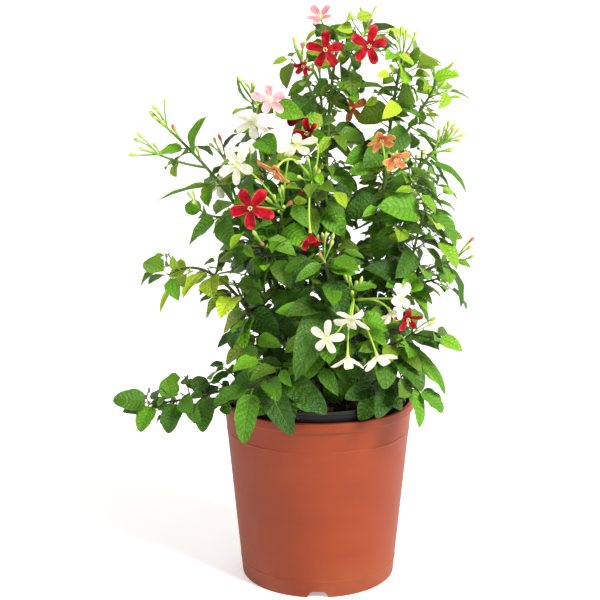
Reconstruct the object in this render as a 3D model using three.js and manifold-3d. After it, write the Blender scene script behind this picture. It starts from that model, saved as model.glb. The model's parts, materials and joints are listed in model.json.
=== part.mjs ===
// A potted rangoon creeper: a leafy climbing shrub with opposite leaves and long-tubed, five-petalled
// flowers, grown in a black grower's pot that stands in a terracotta-coloured plastic pot.
// Millimetres, +Z up, +Y to the back. The origin is the middle of the outer pot's underside.

import * as THREE from "three";
import Module from "manifold-3d";
import { mergeVertices } from "three/addons/utils/BufferGeometryUtils.js";

const wasm = await Module();
wasm.setup();

// Driving dimensions
const gap = 0.3; // the clear space between two pieces that touch
const potSides = 32;
const pot = { height: 190, rimRadius: 100, baseRadius: 80, wall: 2.4, band: 10, proud: 2.2 };
const foot = { height: 7, ring: 7, disc: 54, slope: 4, notches: 4, notchWidth: 22, notchHeight: 6.6 };
const liner = { top: 200, rimRadius: 92, baseRadius: 69, wall: 1.7, band: 13, proud: 2.6 };
const drain = { radius: 4.5, distance: 64, sides: 5, turn: 0.4 };
const soil = { top: 186, crown: 3, flat: 0.85 };
const root = { depth: 34, sides: 4, steps: 5, collar: 3, bore: 0.4, mouth: 12 };
const twig = { sides: 4, steps: 3 };
const pedicel = { length: 8, radius: 1.3, neck: 2.2, inset: 0.8, sides: 3 };
const leafBlade = { halfThickness: 0.7, petioleRadius: 1, fold: 0.24, arch: 0.8, bare: 0.5 };
// The stations along a leaf, each with its share of the leaf's width, from the leaf's length up
const leafStations = [
  { from: 50, stations: [[0.24, 0.88], [0.5, 1], [0.77, 0.62]] },
  { from: 28, stations: [[0.3, 0.95], [0.67, 0.78]] },
  { from: 0, stations: [[0.42, 1]] },
];
const leafWidthShare = 0.58; // width over length where a leaf gives none
const clearance = 0.4; // what a leaf or bud keeps free around it
const uprightFrom = 0.72; // below this steepness a stem carries its leaves in two rows
const habit = { lift: 0.6, forward: 0.4, back: 20, quarterTurn: 90 };
// How far each of a leaf's settings varies from its rule, angles in degrees
const vary = { face: 0.35, roll: 15, uprightRoll: 20, drop: 12, length: 0.12, width: 0.1, arch: 0.35 };
// What a leaf tries in turn until it is clear: shares of its length, degrees down and degrees sideways
const attempts = { shares: [1, 0.86, 0.72], drops: [0, 16, -16, 32], turns: [0, 15, -15, 30, -30, 45, -45] };
const fixedShare = 0.8; // a leaf placed by hand is not made shorter than this
const petal = { length: 17, width: 8.6, halfThickness: 0.5, hub: 2.5, curl: 0.28, open: 84 };
// How far a petal of an open flower strays from its place, angles in degrees
const petalStray = { lean: 15, turn: 7, length: 0.12 };
// The stations along a petal, each with its share of the petal's width, from the flower's size up
const petalStations = [
  { from: 1.05, stations: [[0.42, 0.85], [0.8, 0.95], [1, 0]] },
  { from: 0, stations: [[0.66, 1], [1, 0]] },
];
const tube = { sides: 5, radii: [1.5, 1.1], reach: 0.5, throat: 1.6, end: 3 };
const bud = { length: 17, halfWidth: 2, neck: 0.9, swelling: 0.74, leans: [30, 45, 60, 15], turn: 2.4 };
const budSpread = { from: 0.98, step: 0.05, rows: 4, lean: 6, turn: 0.3, length: 0.25 };

const up = new THREE.Vector3(0, 0, 1);
const colours = {
  terracotta: { color: 0xb5602f, roughness: 0.42, metalness: 0 },
  black: { color: 0x17181a, roughness: 0.5, metalness: 0 },
  soil: { color: 0x4a3023, roughness: 0.95, metalness: 0 },
  leaf: { color: 0x3d7d22, roughness: 0.5, metalness: 0 },
  red: { color: 0xc0122c, roughness: 0.55, metalness: 0 },
  peach: { color: 0xe0865a, roughness: 0.55, metalness: 0 },
  pink: { color: 0xf0a9a8, roughness: 0.55, metalness: 0 },
  white: { color: 0xf6f3e6, roughness: 0.55, metalness: 0 },
};

// The shoots, one node each. A main stem starts in the soil at from; a side stem starts on stem number on,
// at the share at of its length. path holds the rest of its curve's control points, and the last of them is
// its end. radius goes from thick to thin. leaves gives the rule for its pairs, blades the large leaves placed
// one by one, from the share at to the point tip, and buds a cluster at its end. face turns all its leaves.
const shoots = {
  shoot_tall: [
    {
      from: [8, 6], path: [[10, 12, 290], [0, 0, 445], [20, -10, 556]], radius: [3.4, 1.3],
      leaves: { pairs: 7, first: 0.3, last: 0.97, length: [55, 35], drop: [44, 14], turn: 20 },
      blades: [{ at: 0.99, tip: [-6, -22, 570], width: 11 }, { at: 0.98, tip: [2, 28, 566], width: 14 }],
    },
    {
      on: 0, at: 0.76, path: [[-8, -12, 500], [-16, -22, 532]], radius: [1.8, 1.1],
      leaves: { pairs: 1, first: 0.45, last: 0.9, length: [41, 31], drop: [37, 7], turn: 40 },
      buds: { count: 2, length: 17 },
    },
    {
      on: 0, at: 0.8, path: [[32, 0, 525], [46, 2, 562]], radius: [1.8, 1.1],
      leaves: { pairs: 1, first: 0.5, last: 0.9, length: [41, 31], drop: [34, 4], turn: 70 },
      blades: [{ at: 0.96, tip: [76, -12, 566], width: 13 }],
      buds: { count: 2, length: 16 },
    },
    {
      on: 0, at: 0.5, path: [[-2, -36, 396], [-6, -58, 423]], radius: [1.7, 1.2],
      leaves: { pairs: 1, first: 0.45, last: 0.45, length: [40, 40], drop: [40, 10], turn: 20 },
    },
  ],
  shoot_right_tall: [
    {
      from: [36, 4], path: [[72, 2, 290], [55, -6, 405], [82, -10, 536]], radius: [3.2, 1.3],
      leaves: { pairs: 7, first: 0.34, last: 0.98, length: [55, 38], drop: [46, 16], turn: 65 },
      blades: [
        { at: 0.87, tip: [88, -42, 512], width: 25 },
        { at: 0.97, tip: [98, -26, 548], width: 13 },
      ],
      buds: { count: 2, length: 17 },
    },
    {
      on: 0, at: 0.74, path: [[100, -12, 480], [116, -14, 512]], radius: [1.8, 1.1],
      leaves: { pairs: 1, first: 0.4, last: 0.85, length: [46, 35], drop: [40, 10], turn: 10 },
      buds: { count: 4, length: 18 },
    },
    {
      on: 0, at: 0.56, path: [[96, -26, 430], [118, -26, 452]], radius: [1.8, 1.1],
      leaves: { pairs: 1, first: 0.4, last: 0.85, length: [43, 33], drop: [40, 10], turn: 30 },
      blades: [{ at: 0.7, tip: [146, -34, 406], width: 15, arch: 1.3 }],
      buds: { count: 3, length: 18 },
    },
    {
      on: 0, at: 0.52, path: [[62, -34, 412], [68, -46, 428]], radius: [1.8, 1.2],
      leaves: { pairs: 1, first: 0.5, last: 0.5, length: [38, 38], drop: [32, 2], turn: 0 },
    },
  ],
  shoot_right_low: [
    {
      from: [50, -12], path: [[58, -26, 292], [94, -36, 334], [137, -36, 340]], radius: [2.8, 1.2],
      leaves: { pairs: 4, first: 0.3, last: 0.86, length: [53, 35], drop: [48, 18], turn: 15 },
      blades: [
        { at: 0.62, tip: [44, -66, 338], width: 29 },
        { at: 0.7, tip: [80, -66, 314], width: 22 },
        { at: 0.82, tip: [114, -54, 292], width: 21 },
        { at: 0.93, tip: [141, -50, 294], width: 15 },
        { at: 0.98, tip: [151, -30, 332], width: 11 },
      ],
      buds: { count: 2, length: 13 },
    },
    {
      on: 0, at: 0.6, path: [[92, -44, 352], [106, -42, 396]], radius: [1.7, 1.1],
      leaves: { pairs: 1, first: 0.5, last: 0.9, length: [43, 33], drop: [44, 14], turn: 50 },
      blades: [
        { at: 0.95, tip: [134, -52, 352], width: 25, arch: 1.2 },
        { at: 0.9, tip: [56, -68, 398], width: 31 },
      ],
    },
  ],
  shoot_left_high: [
    {
      from: [-20, 8], path: [[-28, 4, 325], [-84, -18, 410], [-146, -34, 470]], radius: [3, 1.2],
      leaves: { pairs: 5, first: 0.3, last: 0.9, length: [53, 33], drop: [48, 18], turn: 0 },
      blades: [
        { at: 0.72, tip: [-158, -44, 400], width: 19, arch: 0.5 },
        { at: 0.85, tip: [-106, -52, 484], width: 17, arch: 1.3 },
        { at: 0.88, tip: [-138, -62, 436], width: 17 },
      ],
      buds: { count: 4, length: 17 },
    },
    {
      on: 0, at: 0.8, path: [[-134, -40, 436], [-154, -44, 446]], radius: [1.5, 1],
      leaves: { pairs: 1, first: 0.6, last: 0.6, length: [22, 22], drop: [36, 6], turn: 0 },
      buds: { count: 2, length: 14 },
    },
    {
      on: 0, at: 0.62, path: [[-92, -44, 378], [-112, -58, 392]], radius: [1.6, 1],
      leaves: { pairs: 2, first: 0.55, last: 0.95, length: [41, 24], drop: [32, 2], turn: 45 },
    },
  ],
  shoot_left_mid: [
    {
      from: [-8, 22], path: [[-28, 14, 320], [-55, -16, 410], [-64, -18, 496]], radius: [3, 1.3],
      leaves: { pairs: 7, first: 0.32, last: 0.97, length: [55, 35], drop: [46, 16], turn: 40 },
      blades: [{ at: 0.98, tip: [-78, -28, 520], width: 12 }],
      buds: { count: 2, length: 18 },
    },
    {
      on: 0, at: 0.66, path: [[-58, -36, 410], [-68, -44, 428]], radius: [1.7, 1.2],
      leaves: { pairs: 1, first: 0.4, last: 0.4, length: [41, 40], drop: [42, 12], turn: 20 },
    },
    {
      on: 0, at: 0.45, path: [[-44, -44, 346], [-54, -66, 362]], radius: [1.7, 1.2],
      leaves: { pairs: 1, first: 0.35, last: 0.8, length: [48, 38], drop: [48, 18], turn: 60 },
      buds: { count: 2, length: 16 },
    },
    {
      on: 0, at: 0.5, path: [[-36, -36, 368], [-35, -62, 396]], radius: [1.7, 1.2],
      leaves: { pairs: 1, first: 0.5, last: 0.5, length: [38, 38], drop: [37, 7], turn: 0 },
      buds: { count: 3, length: 19 },
    },
  ],
  shoot_left_low: [
    {
      from: [-34, -10], path: [[-46, -22, 262], [-96, -46, 352], [-138, -58, 334]], radius: [2.6, 1.1],
      leaves: { pairs: 5, first: 0.28, last: 0.9, length: [50, 35], drop: [52, 22], turn: 25 },
      blades: [
        { at: 0.88, tip: [-154, -72, 294], width: 15, arch: 0.9 },
        { at: 0.78, tip: [-130, -84, 312], width: 17, arch: 0.9 },
        { at: 0.55, tip: [-94, -86, 292], width: 23 },
        { at: 0.42, tip: [-84, -74, 258], width: 26 },
        { at: 0.3, tip: [-66, -72, 224], width: 27 },
        { at: 0.97, tip: [-140, -78, 352], width: 11, arch: 1.1 },
      ],
    },
    {
      on: 0, at: 0.2, path: [[-64, -22, 270], [-84, -30, 318]], radius: [1.8, 1.1],
      leaves: { pairs: 3, first: 0.35, last: 0.97, length: [46, 36], drop: [52, 22], turn: 50 },
    },
  ],
  shoot_front: [
    {
      from: [-4, -36], path: [[4, -62, 262], [20, -84, 315], [6, -88, 350]], radius: [2.6, 1.2],
      leaves: { pairs: 5, first: 0.34, last: 0.95, length: [50, 31], drop: [52, 22], turn: 10 },
      blades: [
        { at: 0.72, tip: [-22, -114, 238], width: 32, arch: 0.6 },
        { at: 0.62, tip: [-30, -108, 300], width: 27 },
        { at: 0.85, tip: [30, -104, 296], width: 25 },
        { at: 0.99, tip: [-22, -104, 332], width: 11 },
        { at: 0.96, tip: [44, -100, 350], width: 13 },
      ],
      buds: { count: 3, length: 16 },
    },
  ],
  shoot_front_right: [
    {
      from: [26, -38], path: [[34, -56, 245], [42, -70, 275], [33, -80, 310]], radius: [2.5, 1.3],
      leaves: { pairs: 3, first: 0.35, last: 0.8, length: [50, 40], drop: [52, 22], turn: 35 },
      buds: { count: 2, length: 18 },
    },
    {
      on: 0, at: 0.5, path: [[70, -76, 258], [92, -78, 276]], radius: [1.8, 1.1],
      leaves: { pairs: 2, first: 0.4, last: 0.8, length: [48, 38], drop: [48, 18], turn: 80 },
      blades: [
        { at: 0.85, tip: [116, -104, 266], width: 27 },
        { at: 0.5, tip: [100, -106, 226], width: 32, arch: 0.6 },
        { at: 0.97, tip: [128, -78, 262], width: 16 },
        { at: 0.7, tip: [124, -84, 216], width: 12, arch: 1.2 },
      ],
    },
  ],
  shoot_trailing: [
    {
      from: [-46, -34], path: [[-50, -44, 238], [-86, -62, 206], [-168, -60, 199]], radius: [2.2, 1],
      leaves: { pairs: 2, first: 0.4, last: 0.55, length: [27, 26], drop: [20, 20], turn: 0, wide: 0.75 },
      face: [-0.2, -0.8, 0.7],
      blades: [
        { at: 1, tip: [-203, -68, 205], width: 23 },
        { at: 0.98, tip: [-176, -76, 175], width: 20 },
        { at: 0.89, tip: [-152, -50, 223], width: 21 },
        { at: 0.87, tip: [-148, -78, 174], width: 22 },
        { at: 0.72, tip: [-124, -48, 223], width: 18 },
        { at: 0.7, tip: [-114, -80, 176], width: 21 },
        { at: 0.79, tip: [-136, -76, 191], width: 14 },
      ],
    },
  ],
  shoot_rim_left: [
    {
      from: [-24, -56], path: [[-28, -72, 240], [-44, -92, 242], [-66, -102, 226]], radius: [2.2, 1.1],
      leaves: { pairs: 3, first: 0.3, last: 0.7, length: [46, 40], drop: [48, 18], turn: 0 },
      blades: [
        { at: 0.95, tip: [-71, -120, 178], width: 23 },
        { at: 0.75, tip: [-24, -124, 188], width: 26 },
        { at: 0.5, tip: [8, -122, 208], width: 27 },
        { at: 0.98, tip: [-100, -112, 214], width: 19 },
      ],
    },
  ],
  shoot_rim_right: [
    {
      from: [42, -48], path: [[52, -62, 232], [70, -80, 238], [98, -82, 220]], radius: [2.2, 1.1],
      leaves: { pairs: 3, first: 0.3, last: 0.75, length: [43, 35], drop: [50, 20], turn: 30 },
      blades: [
        { at: 0.55, tip: [56, -110, 200], width: 23 },
        { at: 0.85, tip: [98, -102, 188], width: 22 },
        { at: 0.98, tip: [122, -86, 198], width: 19 },
        { at: 0.35, tip: [26, -98, 216], width: 20 },
      ],
    },
  ],
  shoot_back_left: [
    {
      from: [-26, 44], path: [[-34, 60, 290], [-84, 84, 350], [-98, 78, 424]], radius: [2.8, 1.2],
      leaves: { pairs: 5, first: 0.26, last: 0.97, length: [58, 38], drop: [50, 20], turn: 30 },
      buds: { count: 2, length: 16 },
    },
    {
      on: 0, at: 0.5, path: [[-30, 90, 350], [-24, 104, 386]], radius: [1.8, 1.1],
      leaves: { pairs: 2, first: 0.3, last: 0.95, length: [50, 35], drop: [46, 16], turn: 0 },
    },
  ],
  shoot_back_right: [
    {
      from: [38, 42], path: [[44, 60, 285], [92, 88, 340], [104, 74, 416]], radius: [2.8, 1.2],
      leaves: { pairs: 5, first: 0.26, last: 0.97, length: [58, 38], drop: [50, 20], turn: 60 },
      buds: { count: 2, length: 16 },
    },
    {
      on: 0, at: 0.45, path: [[96, 60, 290], [128, 50, 304]], radius: [1.8, 1.1],
      leaves: { pairs: 2, first: 0.35, last: 0.95, length: [50, 35], drop: [46, 16], turn: 0 },
    },
  ],
  shoot_back_tall: [
    {
      from: [6, 40], path: [[4, 72, 275], [12, 88, 400], [2, 46, 506]], radius: [3, 1.2],
      leaves: { pairs: 7, first: 0.24, last: 0.97, length: [58, 38], drop: [48, 18], turn: 10 },
      buds: { count: 2, length: 17 },
    },
    {
      on: 0, at: 0.35, path: [[-12, 106, 300], [-34, 118, 292]], radius: [1.8, 1.1],
      leaves: { pairs: 2, first: 0.3, last: 0.95, length: [50, 35], drop: [46, 16], turn: 0 },
    },
  ],
};

// The flowers by colour: on names the shoot and the number of its stem, whose end carries the pedicel. face
// is the middle of the corolla, look the way it faces, open the angle in degrees between look and petals, and
// spin the turn of the petals about look, which is drawn where a flower gives none.
const blooms = {
  red: [
    { on: ["shoot_tall", 0], face: [7, -50, 546], look: [-0.1, -1, 0.2], size: 0.95, spin: 4 },
    { on: ["shoot_tall", 2], face: [48, -46, 550], look: [0.3, -0.9, -0.25], size: 1, open: 70, spin: -6 },
    { on: ["shoot_tall", 1], face: [-13, -46, 532], look: [-0.4, -0.6, -0.6], size: 0.6, open: 30 },
    { on: ["shoot_tall", 3], face: [-9, -70, 468], look: [-0.6, -0.7, 0.4], size: 0.8, open: 48 },
    { on: ["shoot_left_mid", 3], face: [-63, -104, 403], look: [-0.15, -1, 0.1], size: 1.15, spin: 32 },
    { on: ["shoot_tall", 3], face: [-7, -92, 374], look: [0.1, -0.4, -0.9], size: 0.9, open: 34 },
    { on: ["shoot_front_right", 1], face: [85, -112, 299], look: [0.1, -0.75, -0.5], size: 0.7, open: 58 },
    { on: ["shoot_back_left", 1], face: [-22, 146, 388], look: [0.1, 1, 0.1], size: 1.1 },
    { on: ["shoot_back_right", 0], face: [84, 122, 394], look: [0, 1, 0.4], size: 1.05, open: 76 },
    { on: ["shoot_back_tall", 0], face: [-16, 90, 470], look: [-0.3, 0.9, -0.3], size: 1.1, open: 72 },
  ],
  white: [
    { on: ["shoot_left_mid", 3], face: [-20, -88, 460], look: [0.1, -0.6, -0.75], size: 1, open: 66 },
    { on: ["shoot_left_mid", 3], face: [-76, -88, 441], look: [-0.5, -0.85, 0.3], size: 1, open: 78 },
    { on: ["shoot_left_mid", 0], face: [-63, -58, 478], look: [-0.35, -0.7, -0.6], size: 0.95, open: 58 },
    { on: ["shoot_front_right", 0], face: [8, -122, 282], look: [-0.5, -0.85, 0.05], size: 0.85, open: 76 },
    { on: ["shoot_front_right", 0], face: [31, -124, 301], look: [-0.15, -0.6, -0.75], size: 1, open: 62 },
    { on: ["shoot_front_right", 0], face: [28, -120, 262], look: [0, -0.45, -0.9], size: 0.95, open: 44 },
    { on: ["shoot_front_right", 0], face: [56, -122, 264], look: [0.25, -0.65, -0.7], size: 1, open: 58 },
    { on: ["shoot_front_right", 0], face: [77, -116, 319], look: [0.8, -0.6, 0.1], size: 0.95, open: 78 },
    { on: ["shoot_front_right", 0], face: [70, -92, 300], look: [0.5, -0.6, -0.6], size: 0.75, open: 50 },
    { on: ["shoot_back_left", 0], face: [-108, 116, 394], look: [-0.5, 0.8, 0.3], size: 1, open: 78 },
    { on: ["shoot_back_right", 0], face: [114, 112, 392], look: [0.8, 0.7, -0.2], size: 1, open: 76 },
  ],
  peach: [
    { on: ["shoot_tall", 3], face: [-40, -102, 438], look: [-0.5, -0.5, -0.7], size: 0.95, open: 72 },
    { on: ["shoot_right_tall", 3], face: [60, -72, 464], look: [0.1, -0.7, -0.6], size: 0.85, open: 60 },
    { on: ["shoot_right_tall", 3], face: [72, -84, 447], look: [0.4, -0.7, -0.5], size: 0.75, open: 52 },
    { on: ["shoot_back_tall", 0], face: [36, 84, 480], look: [0.6, 0.8, 0.1], size: 0.95, open: 70 },
  ],
  pink: [
    { on: ["shoot_tall", 0], face: [2, -22, 576], look: [-0.3, -0.6, 0.75], size: 0.8, open: 56 },
    { on: ["shoot_left_mid", 0], face: [-46, -56, 500], look: [0.2, -0.95, 0.3], size: 0.9, open: 72 },
    { on: ["shoot_back_left", 0], face: [-72, 118, 410], look: [0.1, 1, 0.3], size: 1, open: 72 },
  ],
};

// Closed bodies from rings of points

function bridge(faces, a, b) {
  // The faces between two rings of point numbers, split alike on both sides of a blade. A ring of one point
  // is a tip, and a petiole's three points widen to a blade's four.
  if (a.length === 3 && b.length === 4) {
    faces.push([a[0], a[1], b[1]], [a[0], b[1], b[0]], [a[1], a[2], b[1]], [a[2], b[2], b[1]]);
    faces.push([a[2], a[0], b[3]], [a[2], b[3], b[2]], [a[0], b[0], b[3]]);
    return;
  }
  const count = Math.max(a.length, b.length);
  for (let j = 0; j < count; j++) {
    const k = (j + 1) % count;
    if (a.length === 1) faces.push([a[0], b[k], b[j]]);
    else if (b.length === 1) faces.push([a[j], a[k], b[0]]);
    else if (j % 2) faces.push([a[j], a[k], b[j]], [a[k], b[k], b[j]]);
    else faces.push([a[j], a[k], b[k]], [a[j], b[k], b[j]]);
  }
}

function cap(faces, ring) {
  for (let j = 1; j + 1 < ring.length; j++) faces.push([ring[0], ring[j], ring[j + 1]]);
}

function body(points, faces) {
  // A closed body, with its faces turned over if they point inwards.
  const cross = new THREE.Vector3();
  let volume = 0;
  for (const [a, b, c] of faces) volume += points[a].dot(cross.crossVectors(points[b], points[c]));
  const outward = volume < 0 ? faces.map(([a, b, c]) => [a, c, b]) : faces;
  const vertProperties = new Float32Array(points.flatMap((p) => p.toArray()));
  const triVerts = new Uint32Array(outward.flat());
  return new wasm.Manifold(new wasm.Mesh({ numProp: 3, vertProperties, triVerts }));
}

function loft(rings) {
  const faces = [];
  let next = 0;
  const numbered = rings.map((ring) => ring.map(() => next++));
  for (let i = 0; i + 1 < rings.length; i++) bridge(faces, numbered[i], numbered[i + 1]);
  cap(faces, [...numbered[0]].reverse());
  cap(faces, numbered.at(-1));
  return body(rings.flat(), faces);
}

function solidOf(geometry) {
  // A closed three.js geometry as a solid that can be joined and cut.
  geometry.deleteAttribute("normal");
  geometry.deleteAttribute("uv");
  const merged = mergeVertices(geometry, 1e-4);
  const points = [];
  const position = merged.getAttribute("position");
  for (let i = 0; i < position.count; i++) points.push(new THREE.Vector3().fromBufferAttribute(position, i));
  const index = merged.getIndex().array;
  const faces = [];
  for (let i = 0; i < index.length; i += 3) {
    const face = [index[i], index[i + 1], index[i + 2]];
    if (new Set(face).size === 3) faces.push(face);
  }
  return body(points, faces);
}

function turned(profile) {
  const points = profile.map(([r, z]) => new THREE.Vector2(r, z));
  return solidOf(new THREE.LatheGeometry(points, potSides).rotateX(Math.PI / 2));
}

// Small helpers

function vec(p) {
  return new THREE.Vector3(...p);
}

function along(point, direction, distance) {
  return point.clone().addScaledVector(direction, distance);
}

function across(direction, hint) {
  // The part of hint that is square to direction, as a unit vector.
  return along(hint, direction, -hint.dot(direction)).normalize();
}

function seededDraws(seed) {
  // Numbers from -1 to 1, the same on every run.
  let state = seed * 2654435761;
  return () => {
    state = (state + 0x6d2b79f5) | 0;
    let t = Math.imul(state ^ (state >>> 15), 1 | state);
    t = (t + Math.imul(t ^ (t >>> 7), 61 | t)) ^ t;
    return ((t ^ (t >>> 14)) >>> 0) / 2147483648 - 1;
  };
}

// Pots and soil

function wallRadius(shape, height, z) {
  return shape.baseRadius + ((shape.rimRadius - shape.proud - shape.baseRadius) * z) / height;
}

function drainHoles() {
  const holes = [];
  for (let i = 0; i < foot.notches; i++) {
    const angle = (i * 2 * Math.PI) / foot.notches + drain.turn;
    const hole = new THREE.CylinderGeometry(drain.radius, drain.radius, 60, drain.sides).rotateX(Math.PI / 2);
    holes.push(solidOf(hole.translate(drain.distance * Math.cos(angle), drain.distance * Math.sin(angle), 0)));
  }
  return holes;
}

function outerPot() {
  const { height, rimRadius, wall, band, baseRadius } = pot;
  const bandFoot = height - band;
  const floor = foot.height + wall;
  const inside = (z) => wallRadius(pot, height, z) - wall;
  const profile = [
    [0, 0], [foot.disc, 0], [foot.disc + foot.slope, foot.height], [baseRadius - foot.ring - 1, foot.height],
    [baseRadius - foot.ring, 0], [baseRadius, 0], [wallRadius(pot, height, bandFoot), bandFoot],
    [rimRadius - 0.3, bandFoot + 0.8], [rimRadius, height], [inside(height), height], [inside(floor), floor],
    [foot.disc + foot.slope - 1, floor], [foot.disc - 1, wall], [0, wall],
  ];
  let solid = turned(profile);
  const { notchWidth, notchHeight } = foot;
  const arch = new THREE.Shape();
  arch.moveTo(-notchWidth / 2, -1);
  arch.lineTo(notchWidth / 2, -1);
  arch.lineTo(notchWidth / 2 - 4, notchHeight);
  arch.lineTo(4 - notchWidth / 2, notchHeight);
  arch.closePath();
  for (let i = 0; i < foot.notches; i++) {
    const notch = new THREE.ExtrudeGeometry(arch, { depth: foot.ring + 4, bevelEnabled: false });
    notch.rotateX(Math.PI / 2).translate(0, -(baseRadius - foot.ring - 2), 0);
    solid = solid.subtract(solidOf(notch.rotateZ((i * 2 * Math.PI) / foot.notches)));
  }
  for (const hole of drainHoles()) solid = solid.subtract(hole);
  return solid;
}

const linerFloor = foot.height + pot.wall + gap;

function linerWall(z) {
  // The outer radius of the inner pot's wall, below its rim band.
  return wallRadius(liner, liner.top - linerFloor, z - linerFloor);
}

function innerPot() {
  const { top, rimRadius, wall, band, baseRadius } = liner;
  const bandFoot = top - band;
  const profile = [
    [0, linerFloor], [baseRadius, linerFloor], [linerWall(bandFoot), bandFoot],
    [rimRadius - 0.4, bandFoot + 0.6], [rimRadius, top], [rimRadius - wall, top],
    [linerWall(bandFoot) - wall, bandFoot],
    [linerWall(linerFloor + wall) - wall, linerFloor + wall], [0, linerFloor + wall],
  ];
  let solid = turned(profile);
  for (const hole of drainHoles()) solid = solid.subtract(hole);
  return solid;
}

function soilFill(stems) {
  const inside = (z) => linerWall(z) - liner.wall - gap;
  const floor = linerFloor + liner.wall + gap;
  const edge = soil.top - soil.crown;
  const profile = [
    [0, floor], [inside(floor), floor], [inside(edge), edge],
    [inside(edge) * soil.flat, soil.top], [0, soil.top],
  ];
  let solid = turned(profile);
  for (const stem of stems) solid = solid.subtract(stem.hole);
  return solid;
}

// Stems

function ringRound(centre, axis, side, radius, sides) {
  const other = new THREE.Vector3().crossVectors(axis, side);
  return Array.from({ length: sides }, (_, i) => {
    const angle = (i * 2 * Math.PI) / sides;
    return along(along(centre, side, radius * Math.cos(angle)), other, radius * Math.sin(angle));
  });
}

function sweep(points, radii, sides) {
  // A tapering stem through the points, its section carried along without twist.
  let side = new THREE.Vector3(1, 0, 0);
  const rings = points.map((point, i) => {
    const axis = points[Math.min(i + 1, points.length - 1)].clone().sub(points[Math.max(i - 1, 0)]).normalize();
    if (Math.abs(side.dot(axis)) > 0.95) side = new THREE.Vector3(0, 1, 0);
    side = across(axis, side);
    return ringRound(point, axis, side, radii[i], sides);
  });
  return loft(rings);
}

function stemOf(spec, stems) {
  const start = spec.from ? vec([...spec.from, soil.top + root.collar]) : stems[spec.on].pointAt(spec.at);
  const control = [start, ...spec.path.map(vec)];
  const Curve = control.length === 4 ? THREE.CubicBezierCurve3 : THREE.QuadraticBezierCurve3;
  const curve = new Curve(...control);
  const [thick, thin] = spec.radius;
  const { sides, steps } = spec.from ? root : twig;
  const points = Array.from({ length: steps + 1 }, (_, i) => curve.getPoint(i / steps));
  const radiusAt = (t) => thick + (thin - thick) * t;
  const radii = points.map((_, i) => radiusAt(i / steps));
  const pointAt = (t) => {
    const i = Math.min(Math.floor(t * steps), steps - 1);
    return points[i].clone().lerp(points[i + 1], t * steps - i);
  };
  const buried = spec.from ? [vec([...spec.from, soil.top - root.depth])] : [];
  const solid = sweep([...buried, ...points], [...buried.map(() => thick), ...radii], sides);
  const stem = { spec, curve, pointAt, radiusAt, solid };
  if (spec.from) {
    const ends = [soil.top - root.depth - gap, soil.top + root.mouth].map((z) => vec([...spec.from, z]));
    stem.hole = sweep(ends, ends.map(() => thick + root.bore), sides);
  }
  return stem;
}

// Leaves

function bladeRings(leaf, grow = 0, from = 0) {
  // Rings of left edge, midrib above, right edge and midrib below, from the petiole to the tip.
  const chord = leaf.tip.clone().sub(leaf.base);
  const length = chord.length();
  chord.divideScalar(length);
  const face = across(chord, leaf.face);
  const side = new THREE.Vector3().crossVectors(chord, face);
  const radius = length / (2 * Math.sin(leaf.arch / 2));
  const { petioleRadius, halfThickness, fold } = leafBlade;
  const placeAt = (u) => {
    const bend = leaf.arch * (u - 0.5);
    const middle = along(leaf.base, chord, radius * (Math.sin(bend) + Math.sin(leaf.arch / 2)));
    middle.addScaledVector(face, radius * (Math.cos(bend) - Math.cos(leaf.arch / 2)));
    const normal = face.clone().multiplyScalar(Math.cos(bend)).addScaledVector(chord, Math.sin(bend));
    return { middle, normal };
  };
  const { stations } = leafStations.find((size) => length >= size.from);
  const rings = stations.map(([u, share]) => {
    const { middle, normal } = placeAt(u);
    const half = (share * leaf.width) / 2;
    const edge = along(middle, normal, half * fold);
    return [
      along(edge, side, -half - grow), along(middle, normal, halfThickness + grow),
      along(edge, side, half + grow), along(middle, normal, -halfThickness - grow),
    ];
  });
  const { middle, normal } = placeAt((leaf.stemRadius + leafBlade.bare) / length);
  const thick = petioleRadius + grow;
  const under = along(middle, normal, -thick / 2);
  const petiole = [along(under, side, -thick), along(middle, normal, thick), along(under, side, thick)];
  return [petiole, ...rings, [along(leaf.tip, chord, grow)]].slice(from);
}

function leafSolid(leaf) {
  return loft([[leaf.base], ...bladeRings(leaf)]);
}

// Flowers and buds

function pedicelOf(spec, stems) {
  // The flower's stalk on its stem, and the line on which the tube then starts.
  const stem = stems[spec.on[1]];
  const start = along(stem.pointAt(1), stem.curve.getTangent(1), -pedicel.inset);
  const face = vec(spec.face);
  const look = vec(spec.look).normalize();
  const control = along(face, look, -tube.reach * face.distanceTo(start));
  const direction = control.clone().sub(start).normalize();
  const side = across(direction, up);
  const end = along(start, direction, pedicel.length);
  const { radius, sides, neck } = pedicel;
  const rings = [
    [start], ringRound(along(start, direction, neck), direction, side, radius * 0.9, sides),
    ringRound(end, direction, side, radius, sides),
  ];
  return { solid: loft(rings), control, direction, look, face, mouth: along(end, direction, gap) };
}

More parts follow.
